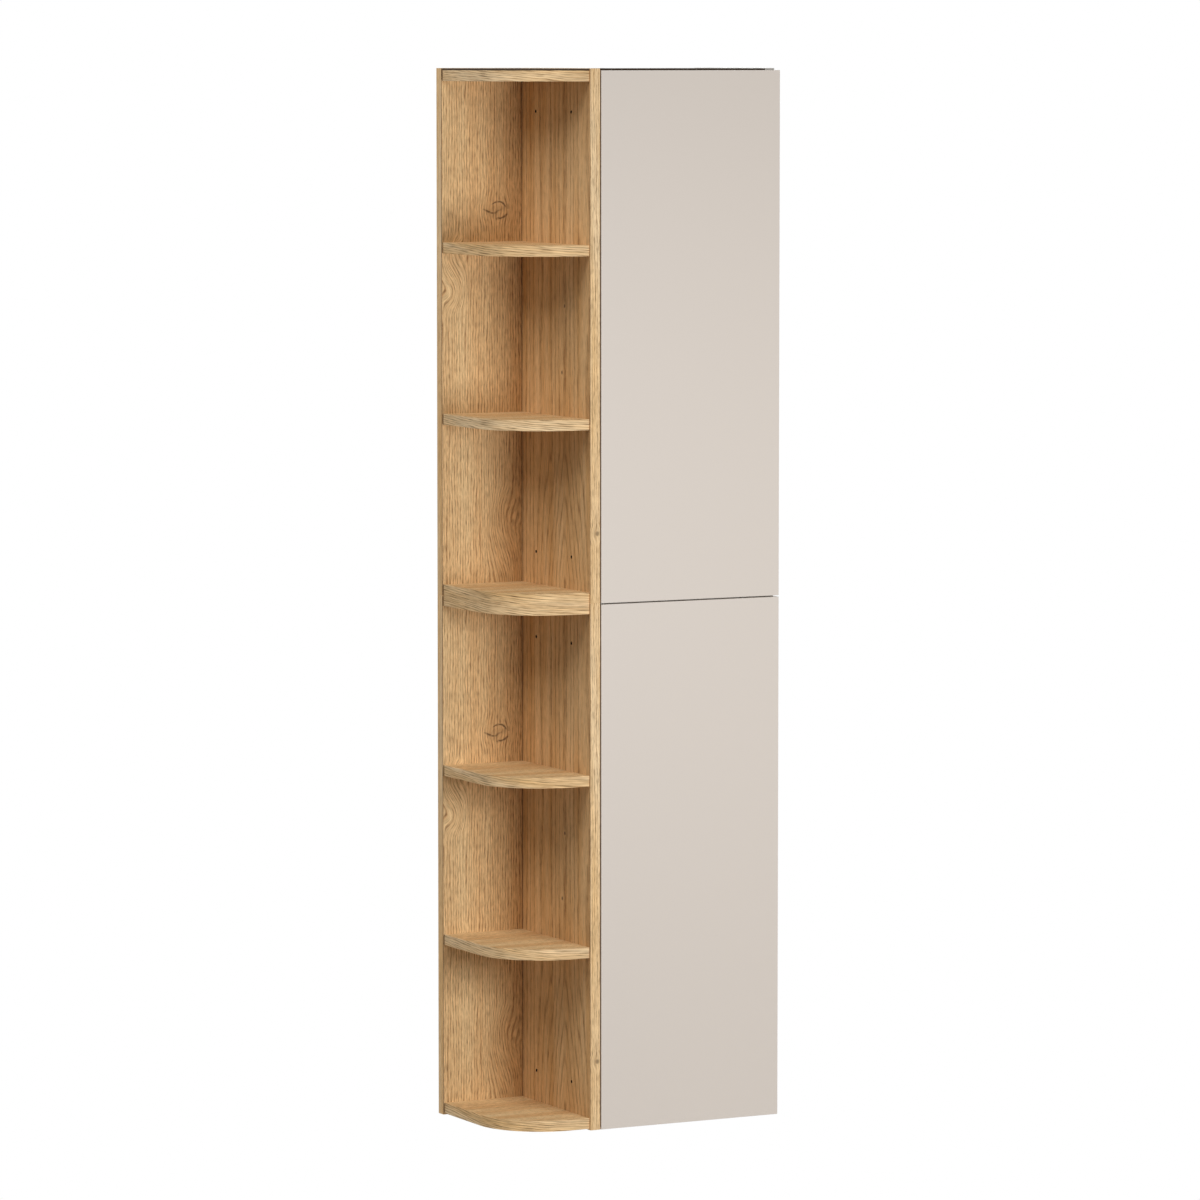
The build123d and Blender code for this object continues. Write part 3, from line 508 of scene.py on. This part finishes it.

# The back panel's paper is printed matt, and embossed with pores. Close rows make it lively. It has a
# swirl and two slanting patches in each half, and it gets warmer and darker towards the inner corner:
# partly the print, partly painted shade of the corner.
oak_back = oak_material("Printed oak decor, back panel", (0, 0, 1), (1, 0, 0), face_tones, 2,
                        repeat=module_height, row_spacing=4.4, row_strength=0.7, pore_length=11.0,
                        pore_strength=0.6, corner_warmth_and_shade=(-190.0, -120.0),
                        features=[(swirl, 573.6, -134.0),
                                  (leaning, 480.0, -205.0, 45, 22, 0.6),
                                  (leaning, 60.0, -125.0, 80, 28, 0.3)])

# The side panel's print comes from the middle of a log: wide rows that nest as arches, on browner wood.
oak_side = oak_material("Printed oak decor, side panel", (0, 0, 1), (0, 1, 0), side_tones, 9,
                        repeat=module_height, row_spacing=12.0, row_strength=0.6, row_width=2.6,
                        pore_length=11.0, pore_strength=0.4, fibre_length=30.0, wander=5.0,
                        unevenness=1.0, row_gaps=0.35,
                        features=[(pin_knot, 434.2, -36.3, 5.5), (pin_knot, 335.6, -27.7, 5.5)],
                        arches=(-33.0, 26.0, 217.0, 66.0, 105.0))

# The wall side of the back panel is hidden once the cabinet hangs. Its print is plain straight rows.
oak_wall = oak_material("Printed oak decor, wall side", (0, 0, 1), (1, 0, 0), face_tones, 57,
                        row_spacing=6.0, row_strength=0.6, pore_length=11.0, pore_strength=0.5)

# On a shelf the grain runs from side to side. Its rows are faint, and the light and shade that lie on
# the board are what the eye sees.
oak_shelf = oak_material("Printed oak decor, shelf face", (1, 0, 0), (0, 1, 0), face_tones, 41,
                         row_spacing=8.0, row_strength=0.4)
print("oak decors made for faces")

# %% Make the oak finishes of the edge bands
band_tones = ("#F7D9AC", "#E9C189", "#A97848", "#604021")
# The end band's tones are paler than the other bands', as painted light on the face that looks left.
lit_end_tones = ("#FAD8A8", "#F0C388", "#AE7A48", "#604021")

# An edge band is a printed strip, ironed on and scraped flush. On a shelf its long strokes make dark
# lines on pale wood, a little aslant. They run on round the corner, because x less y grows all the way
# from the back panel round to the front.
oak_edge = oak_material("Printed oak edge band, shelf", (1, -1, 0), (0.06, -0.06, 1), band_tones,
                        21, row_spacing=3.4, row_strength=0.7, row_width=1.0, pore_width=1.0,
                        pore_length=34.0, pore_strength=0.85, fibre_length=80.0, wander=3.0)

# The band on the front of the side panel has shorter strokes, and one faint knot in each half.
oak_strip = oak_material("Printed oak edge band, upright", (0, 0, 1), (1, 1, 0), band_tones,
                         33, repeat=module_height, row_spacing=3.8, row_strength=0.55, wander=4.0,
                         pore_length=12.0, pore_strength=0.6, fibre_length=45.0,
                         features=[(pin_knot, 102.5, -200.0, 7.0, 0.7)])

# The back panel's end faces the light from the left. Its band gets paler tones than the other bands, as
# painted light on that face, and the plainest print.
oak_end_lit = oak_material("Printed oak edge band, back panel", (0, 0, 1), (1, 1, 0), lit_end_tones,
                       35, repeat=module_height, row_spacing=3.8, row_strength=0.4, wander=4.0,
                       pore_length=18.0, pore_strength=0.45, fibre_length=60.0)
print("oak bands made for edges")


# %% [markdown]
# ## Plain finishes
#
# The rest is plain: matt doors, pale board inside, hardboard backs, nickel and zinc on the fittings,
# moulded plastic. None is quite even, and the eye takes a perfectly even surface for a drawing. So one
# function makes them all, from a colour, a roughness and the size of the unevenness. On real lacquer
# or plastic that size is about a tenth of a millimetre. It is drawn some four to eight times as
# coarse here, so that it still shows.


# %% A plain finish with fine mottling
skin_relief = 0.02 * MM


def plain_material(name, colour, roughness, metallic=0.0, grain=0.4, change=0.02, specular=0.5):
    """A nearly even surface. grain is the size of its unevenness in millimetres."""
    material, tree, shader = new_material(name)
    place = add_node(tree, "TexCoord").outputs["Object"]
    noise = add_node(tree, "TexNoise", {"Vector": place, "Scale": 1 / (grain * MM), "Detail": 2.0})
    shade = add_node(tree, "MapRange", {"Value": noise, "From Min": 0.3, "From Max": 0.7,
                                        "To Min": 1 - change, "To Max": 1 + change})
    base = add_node(tree, "VectorMath", {0: linear(colour)[:3], "Scale": shade}, operation="SCALE")
    tree.links.new(base.outputs[0], shader.inputs["Base Color"])
    shader.inputs["Roughness"].default_value = roughness
    shader.inputs["Metallic"].default_value = metallic
    shader.inputs["Specular IOR Level"].default_value = specular
    relief = add_node(tree, "Bump", {"Height": noise, "Strength": 0.5, "Distance": skin_relief})
    tree.links.new(relief.outputs[0], shader.inputs["Normal"])
    return material


# %% Make the finishes of the doors and boards
# Lacquer sprayed on in thin coats dries with a very fine, soft skin. The doors look flat and quiet.
taupe = plain_material("Taupe matt lacquer, sprayed", "#D8CEC4", 0.5, grain=0.8)

# Melamine paper is pressed on the chipboard by a smooth steel plate, and keeps a faint even shine.
pale_board = plain_material("Pale melamine paper, pressed on board", "#E8E6E0", 0.45, grain=0.5)

# Hardboard gets one thin coat of lacquer from a roller, and its fibres show through as a soft mottle.
hardboard = plain_material("White hardboard, rolled with lacquer", "#E6E4DE", 0.5, grain=1.0)

# The cover sheet on top of the box is dark brown, as painted shade along the cabinet's top edge. It is
# matt and gives back hardly any light.
painted_shade_sheet = plain_material("Dark brown sheet, painted shade along the top", "#4A3C2E", 0.8, grain=0.6,
                            specular=0.2)

# A dowel is turned from beech: pinkish brown, and flecked where the cutter crossed the fibres.
beech = plain_material("Beech, turned to dowels", "#C9A06E", 0.6, grain=0.8, change=0.06)

# The walls inside a drilled hole are painted almost black, as painted shade of the hole's depth.
painted_hole_shade = plain_material("Drilled hole walls, painted shade", "#20150D", 0.9, grain=1.5, change=0.15,
                               specular=0.1)

# Where band and face meet, a thin brown line, uneven along its length: partly the real glue joint,
# partly painted shade of the gap where a board's end meets the back panel.
joint_and_gap_shade = plain_material("Edge band joint and painted gap shade", "#6E4F33", 0.7, grain=5,
                           change=0.4)
print("board finishes made")

# %% Make the finishes of the metals and plastics
# Zinc comes out of the mould with a fine grey skin, which blurs what it mirrors.
zinc = plain_material("Cast zinc", "#B9BABB", 0.4, metallic=1.0)

# Nickel plating makes pressed steel bright, and a little warm in tone.
nickel = plain_material("Pressed steel, nickel plated", "#C9C5BE", 0.25, metallic=1.0)

# Plastic takes the satin face of its mould: one even colour under a soft shine.
grey_plastic = plain_material("Grey plastic, moulded", "#B7B8B8", 0.45)
dark_plastic = plain_material("Dark grey plastic, moulded", "#4A4B4D", 0.45)

# Galvanised sheet is covered with zinc crystals several millimetres wide, lighter and darker ones.
galvanised = plain_material("Sheet steel, galvanised", "#B8BCC0", 0.38, metallic=1.0, grain=6,
                            change=0.08)

# The joining screws are painted near black, as painted shade in their holes. Zinc plating leaves a
# bright bluish skin on a screw.
shade_black_screws = plain_material("Screw steel, painted black as hole shade", "#34322F", 0.5, metallic=0.6)
screws = plain_material("Screw steel, zinc plated", "#C4C6C8", 0.32, metallic=1.0)

# Spring wire is drawn through a die, so it is smooth and dark, with a sharp line of light along it.
spring = plain_material("Spring steel, drawn", "#8E8E90", 0.3, metallic=1.0)
print("metal and plastic finishes made")

# %% [markdown]
# ### Finishes on the pieces
#
# Every piece of the frame gets the finish that its record names, also where nobody sees it, so that an
# open door shows the right thing. The copies made below keep it, and only the oak boards get others.

# %% Give every node its finish
finishes = {
    "pale_melamine_board": pale_board,
    "taupe_matt_front": taupe,
    "white_hardboard": hardboard,
    "dark_cover_sheet": painted_shade_sheet,
    "beech": beech,
    "zinc_casting": zinc,
    "nickel_plated_steel": nickel,
    "grey_moulded_plastic": grey_plastic,
    "dark_moulded_plastic": dark_plastic,
    "galvanised_steel": galvanised,
    "spring_steel": spring,
    "zinc_plated_screws": screws,
    "oak_decor_board": oak_back,
}
node_slots = {part["node"]: part["material_slot"] for part in frame["record"]["subparts"]}
for name, piece in frame["nodes"].items():
    piece.data.materials.clear()
    piece.data.materials.append(finishes[node_slots[name]])
# The screws that join the box to the end unit are painted black, as painted shade: their tips show as
# dark holes in the bays.
frame["nodes"]["unit_fixing_screws"].data.materials[0] = shade_black_screws
print("finishes on", len(node_slots), "nodes")

# %% [markdown]
# ## Boards with edge bands
#
# Each board of the end unit is a slab whose faces carry the printed paper and whose rim carries a
# glued band about a millimetre thick. A shelf has a front left corner rounded to a wide radius, and
# the band runs round it. The slab is a stretched cube. Bevelling one upright edge with many segments
# rounds the corner, insetting the faces draws the band's thickness, and a tiny bevel on every sharp
# edge catches the light, as a scraped band edge does. The band's end meets the back panel in a thin
# dark joint, with shade in the gap beside it. A cut across the slab parts that joint from the band,
# and it is coloured dark brown: partly the joint, partly painted shade of the gap. It is drawn 2 mm
# wide, some ten times as wide as the real one, so that it still shows from a few metres away.
# All eight boards are alike, as they leave the saw, so one is modelled and copied to every level.


# %% Open and select with operators
def start_block(name, low, high):
    """A cube stretched from one corner to the other, with its place in its mesh."""
    bpy.ops.object.select_all(action="DESELECT")
    bpy.ops.mesh.primitive_cube_add(size=1, location=(low + high) / 2, scale=high - low)
    piece = bpy.context.object
    piece.name = name
    bpy.ops.object.transform_apply(location=True, rotation=True, scale=True)
    return piece


def select_in(piece, kind, wanted):
    """Opens edit mode with only the wanted edges or faces selected."""
    bpy.ops.object.mode_set(mode="EDIT")
    bpy.ops.mesh.select_mode(type=kind)
    bpy.ops.mesh.select_all(action="DESELECT")
    bpy.ops.object.mode_set(mode="OBJECT")
    mesh = piece.data
    if kind == "EDGE":
        for edge in mesh.edges:
            edge.select = wanted(*[mesh.vertices[i].co for i in edge.vertices])
    else:
        for face in mesh.polygons:
            face.select = wanted(face.center, face.normal)
    bpy.ops.object.mode_set(mode="EDIT")


def finish_with(piece, kind, **settings):
    """Adds a modifier and applies it."""
    bpy.ops.object.mode_set(mode="OBJECT")
    modifier = piece.modifiers.new(kind.lower(), kind)
    for option, value in settings.items():
        setattr(modifier, option, value)
    bpy.ops.object.modifier_apply(modifier=modifier.name)


def copy_to(piece, name, step):
    """A copy with its own mesh, moved by a step within that mesh."""
    twin = bpy.data.objects.new(name, piece.data.copy())
    twin.data.transform(Matrix.Translation(step))
    bpy.context.scene.collection.objects.link(twin)
    return twin


# %% Break the sharp edges
# An edge sharper than the first angle is rounded, and one flatter than the second is shaded smooth.
sharp_angle = math.radians(45)
smooth_angle = math.radians(35)


def soften(piece, width, segments=2):
    """Breaks every sharp edge with a tiny bevel, and shades the bevels round and the faces flat."""
    finish_with(piece, "BEVEL", width=width, segments=segments, limit_method="ANGLE",
                angle_limit=sharp_angle)
    bpy.ops.object.shade_smooth_by_angle(angle=smooth_angle)
    finish_with(piece, "WEIGHTED_NORMAL", keep_sharp=True)


# %% Model a rounded board
band_thickness = 1.0 * MM
edge_break = 0.35 * MM
joint_width = 2.0 * MM
corner_radius = 100 * MM
corner_steps = 40
touching = 0.1 * MM
# A face looks along an axis when its normal has more than this share along it.
facing = 0.9


def rounded_board(name, low, high):
    """One board of the end unit, with its band."""
    piece = start_block(name, low, high)
    left, front = low.x + touching, low.y + touching
    select_in(piece, "EDGE", lambda a, b: max(a.x, b.x) < left and max(a.y, b.y) < front)
    bpy.ops.mesh.bevel(offset=corner_radius, segments=corner_steps, affect="EDGES")
    bpy.ops.object.mode_set(mode="OBJECT")
    select_in(piece, "FACE", lambda centre, normal: abs(normal.z) > facing)
    bpy.ops.mesh.inset(thickness=band_thickness, use_individual=True)
    bpy.ops.object.mode_set(mode="OBJECT")
    for material in (oak_shelf, oak_edge, joint_and_gap_shade):
        piece.data.materials.append(material)
    for face in piece.data.polygons:
        rim = face.center.x < high.x - band_thickness and face.center.y < high.y - band_thickness
        face.material_index = 1 if rim and not face.select else 0
    select_in(piece, "FACE", lambda centre, normal: True)
    bpy.ops.mesh.bisect(plane_co=(0, high.y - joint_width, 0), plane_no=(0, 1, 0))
    bpy.ops.object.mode_set(mode="OBJECT")
    for face in piece.data.polygons:
        if face.normal.x < -facing and face.center.y > high.y - joint_width:
            face.material_index = 2
    soften(piece, edge_break)
    return piece


# %% Copy the rounded board to every level
levels = ("bottom_board", "low_shelf", "high_shelf", "top_board")
first_low, first_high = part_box("lower_oak_bottom_board")
pattern = rounded_board("board pattern", first_low, first_high)
for half in halves:
    for level in levels:
        node = f"{half}_oak_{level}"
        piece = copy_to(pattern, f"{half}_{level}_dressed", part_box(node)[0] - first_low)
        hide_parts(node)
        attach(piece, "cabinet")
print("a rounded board has", len(pattern.data.polygons), "faces")
bpy.data.objects.remove(pattern)

# %% [markdown]
# ## Upright oak panels
#
# The side panel stands between the end unit and the box, and the back panel lies against the wall.
# Both are slabs like the boards, with a band on the rim and a printed face. The joint of band and
# face shows as a thin brown line on the back panel's upright edges, and along the front of the side
# panel. The wall side of the back panel has a plainer print.
# Four small holes in each side panel take the screws that join it to the box. They could be painted
# on, but a real hole has a depth and a dark mouth, so each is cut with a cylinder and a Boolean.
# Each panel is modelled for the lower half and copied to the upper one.


# %% Drill holes
hole_steps = 32
cutter_length = 60 * MM


def drill_through(piece, places, radius):
    """Cuts round holes along X and paints their walls near black, as painted shade."""
    for place in places:
        bpy.ops.object.select_all(action="DESELECT")
        bpy.ops.mesh.primitive_cylinder_add(vertices=hole_steps, radius=radius, depth=cutter_length,
                                            location=place, rotation=(0, math.pi / 2, 0))
        cutter = bpy.context.object
        cutter.data.materials.append(painted_hole_shade)
        bpy.context.view_layer.objects.active = piece
        modifier = piece.modifiers.new("hole", "BOOLEAN")
        modifier.operation = "DIFFERENCE"
        modifier.object = cutter
        modifier.solver = "EXACT"
        modifier.material_mode = "TRANSFER"
        bpy.ops.object.modifier_apply(modifier=modifier.name)
        bpy.data.objects.remove(cutter)


# %% Model an upright panel
def oak_panel(name, low, high, face_axis, finishes):
    """A panel whose faces look along an axis, with its band and joint lines. The finishes are for
    its faces, its band, its joint lines and, on the back panel, its wall side."""
    piece = start_block(name, low, high)
    select_in(piece, "FACE", lambda centre, normal: abs(normal[face_axis]) > facing)
    bpy.ops.mesh.inset(thickness=band_thickness, use_individual=True)
    bpy.ops.object.mode_set(mode="OBJECT")
    for material in finishes:
        piece.data.materials.append(material)
    for face in piece.data.polygons:
        face.material_index = 0 if face.select else 1
        on_face = abs(face.normal[face_axis]) > facing and not face.select
        if face_axis == 1:
            rim_distance = min(face.center.x - low.x, high.x - face.center.x)
        else:
            rim_distance = face.center.y - low.y
        if on_face and rim_distance < band_thickness:
            face.material_index = 2
        if face_axis == 1 and face.normal.y > facing:
            face.material_index = 3
    soften(piece, edge_break)
    return piece


# %% Model the side panel and the back panel
hole_radius = 2.55 * MM
holes_from_ends = 64 * MM
holes_from_faces = 62 * MM

side_low, side_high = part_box("lower_oak_side_panel")
side_pattern = oak_panel("side pattern", side_low, side_high, 0, (oak_side, oak_strip, joint_and_gap_shade))
rows = (side_low.y + holes_from_faces, side_high.y - holes_from_faces)
heights = (side_low.z + holes_from_ends, side_high.z - holes_from_ends)
drill_through(side_pattern, [(side_low.x, y, z) for y in rows for z in heights], hole_radius)

back_low, back_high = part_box("lower_oak_back_panel")
back_finishes = (oak_back, oak_end_lit, joint_and_gap_shade, oak_wall)
back_pattern = oak_panel("back pattern", back_low, back_high, 1, back_finishes)

# %% Copy the upright panels to both halves
for half in halves:
    for panel, pattern, first_low in (("side_panel", side_pattern, side_low),
                                      ("back_panel", back_pattern, back_low)):
        node = f"{half}_oak_{panel}"
        piece = copy_to(pattern, f"{half}_{panel}_dressed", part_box(node)[0] - first_low)
        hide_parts(node)
        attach(piece, "cabinet")
for pattern in (side_pattern, back_pattern):
    print("the", pattern.name, "has", len(pattern.data.polygons), "faces")
    bpy.data.objects.remove(pattern)

# %% [markdown]
# ## Doors, box boards and fittings with broken edges
#
# No real edge is perfectly sharp. A lacquered door is sanded before it is sprayed, a band is scraped,
# and a pressed or cast fitting comes out of its tool with small radii. These thin rounded edges catch
# the light and draw every outline. The frame's pieces have the right shape and holes, so each is
# copied, its loose triangles are joined and its flat faces made whole again, and then a bevel rounds
# the edges. Last, no point may stand outside the box of the piece it replaces.


# %% Copy a piece and round its edges
same_point = 0.002 * MM
same_plane = math.radians(1)


def broken_edges(node, width, segments=2):
    """Replaces a node by a copy with rounded edges."""
    source = frame["nodes"][node]
    bpy.ops.object.select_all(action="DESELECT")
    piece = bpy.data.objects.new(f"{node}_dressed", source.data.copy())
    bpy.context.scene.collection.objects.link(piece)
    bpy.context.view_layer.objects.active = piece
    piece.select_set(True)
    bpy.ops.object.mode_set(mode="EDIT")
    bpy.ops.mesh.select_all(action="SELECT")
    bpy.ops.mesh.remove_doubles(threshold=same_point)
    bpy.ops.mesh.dissolve_limited(angle_limit=same_plane)
    bpy.ops.object.mode_set(mode="OBJECT")
    soften(piece, width, segments)
    low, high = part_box(node)
    for vertex in piece.data.vertices:
        vertex.co = [min(max(c, least), most) for c, least, most in zip(vertex.co, low, high)]
    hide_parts(node)
    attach(piece, node_bodies[node])
    return piece


# %% Round the doors, the box boards and the fittings
body_nodes = frame["record"]["behaviour"]["bodies"]
node_bodies = {node: body for body, nodes in body_nodes.items() for node in nodes}
door_edge = 1.0 * MM
board_edge = 0.4 * MM
fitting_edge = 0.2 * MM
box_boards = ("left_side", "right_side", "top_panel", "bottom_panel", "low_shelf", "high_shelf")
door_fittings = ("hinge_cups", "hinge_links", "latch_plunger", "latch_strike")
box_fittings = ("hinge_mounting_plates", "hinge_arms", "hanging_brackets", "wall_rails",
                "push_latch_bodies")

rounded = []
for half in halves:
    rounded.append(broken_edges(f"{half}_door", door_edge, 3))
    for board in box_boards:
        rounded.append(broken_edges(f"{half}_box_{board}", board_edge))
    for fitting in door_fittings:
        rounded.append(broken_edges(f"{half}_{fitting}", fitting_edge))
for fitting in box_fittings:
    rounded.append(broken_edges(fitting, fitting_edge))
print(len(rounded), "pieces have", sum(len(piece.data.polygons) for piece in rounded), "faces")

# %% [markdown]
# The dark sheet on top of the box, painted shade along the cabinet's top, reaches over the top of its
# left side, up to the oak panel, and leaves the right side's pale top edge to be seen. Over the side it
# needs no piece of its own: the board is cut across at the sheet's underside, and what is above is
# painted dark, as shade.

# %% Paint shade over the left side's top
cover_side = bpy.data.objects["upper_box_left_side_dressed"]
cover_side.data.materials.append(painted_shade_sheet)
cover_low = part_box("box_top_cover")[0].z
bpy.ops.object.select_all(action="DESELECT")
bpy.context.view_layer.objects.active = cover_side
cover_side.select_set(True)
select_in(cover_side, "FACE", lambda centre, normal: True)
bpy.ops.mesh.bisect(plane_co=(0, 0, cover_low), plane_no=(0, 0, 1))
bpy.ops.object.mode_set(mode="OBJECT")
# Faces above the sheet's underside take the dark sheet colour, as painted shade.
for face in cover_side.data.polygons:
    if face.center.z > cover_low:
        face.material_index = 1
shade_painted_faces = sum(face.material_index for face in cover_side.data.polygons)
print("the cover reaches over", shade_painted_faces, "faces of the left side")

# %% [markdown]
# ## The studio
#
# A cabinet like this hangs on a wall with nothing under it, so the floor lies well below. It is a pale
# disc that fades out towards its rim into the white surroundings, and it takes the cabinet's shadow.

# %% The floor
floor_drop = 0.45
floor_radius = 1.6
fade_start = 0.5
bpy.ops.object.select_all(action="DESELECT")
bpy.ops.mesh.primitive_circle_add(vertices=96, radius=floor_radius, fill_type="NGON",
                                  location=(0, 0, -floor_drop))
floor = bpy.context.object
floor.name = "studio_floor"
bpy.ops.object.transform_apply(location=True, rotation=True, scale=True)
floor_material, tree, shader = new_material("Pale studio floor")
shader.inputs["Base Color"].default_value = linear("#EDEDED")
shader.inputs["Roughness"].default_value = 0.9
place = add_node(tree, "TexCoord").outputs["Object"]
flat = add_node(tree, "VectorMath", {0: place, 1: (1, 1, 0)}, operation="MULTIPLY")
reach = add_node(tree, "VectorMath", {0: flat}, operation="LENGTH").outputs["Value"]
fade = add_node(tree, "MapRange", {"Value": reach, "From Min": fade_start, "From Max": floor_radius},
                interpolation_type="SMOOTHSTEP")
clear = add_node(tree, "BsdfTransparent")
both = add_node(tree, "MixShader", {0: fade, 1: shader, 2: clear})
tree.links.new(both.outputs[0], tree.nodes["Material Output"].inputs["Surface"])
floor.data.materials.append(floor_material)
floor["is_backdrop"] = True
print("the floor lies", floor_drop, "m below the cabinet")


# %% [markdown]
# ### The lights
#
# Three soft lights and a pale sky light the cabinet. The key light stands in front, a little to the
# right and near the cabinet's middle height. Faces that look left fall into shade, and boards higher
# than the light throw short shadows up. A broad light, high on the left, fills the open bays from
# above and lays a shade under every board. The third stands behind, for whoever walks round the
# cabinet.


# %% The lights
def soft_light(name, place, aim, size, power):
    """A square soft light at a place, turned to face a point."""
    data = bpy.data.lights.new(name, "AREA")
    data.size = size
    data.energy = power
    light = bpy.data.objects.new(name, data)
    light.location = place
    light.rotation_euler = (aim - Vector(place)).to_track_quat("-Z", "Y").to_euler()
    bpy.context.scene.collection.objects.link(light)
    return light


middle = (cabinet_low + cabinet_high) / 2
key = soft_light("key light", place=(0.30, -2.4, 0.86), aim=middle, size=0.75, power=32)
left_fill = soft_light("high left light", place=(-3.02, -1.10, 4.61), aim=middle, size=3.2, power=130)
back_light = soft_light("back light", place=(2.6, 3.2, 2.2), aim=middle, size=2.5, power=70)
for light in (key, left_fill, back_light):
    print(light.name, "stands", round((light.location - middle).length, 2), "m away")

# %% [markdown]
# ### The sky
#
# The surroundings are white to the camera and in reflections, as in a photographer's white room, but
# they shed only a fifth of that light on the cabinet. Light Path tells the two kinds of ray apart.

# %% The sky
sky_strength = 0.2
world = bpy.data.worlds.new("studio")
bpy.context.scene.world = world
world.use_nodes = True
tree = world.node_tree
tree.nodes.clear()
path = add_node(tree, "LightPath")
seen = add_node(tree, "Math", {0: path.outputs["Is Camera Ray"], 1: path.outputs["Is Glossy Ray"]},
                operation="MAXIMUM")
seen = add_node(tree, "Math", {0: seen, 1: path.outputs["Is Transmission Ray"]}, operation="MAXIMUM")
around = add_node(tree, "Background", {"Color": linear("#FFFFFF"), "Strength": sky_strength})
backdrop = add_node(tree, "Background", {"Color": linear("#FFFFFF"), "Strength": 1.0})
both = add_node(tree, "MixShader", {0: seen, 1: around, 2: backdrop})
add_node(tree, "OutputWorld", {"Surface": both})

bpy.context.scene.view_settings.view_transform = "Standard"
print("the sky lights the cabinet at a strength of", sky_strength)

# %% [markdown]
# ## Size
#
# The dressed cabinet must keep the frame's size. Both boxes are printed.

# %% Print the dressed size
visual_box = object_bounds()
dressed_low, dressed_high = [[round(v, 4) for v in corner] for corner in visual_box]
print("dressed, it spans", dressed_low, "to", dressed_high)
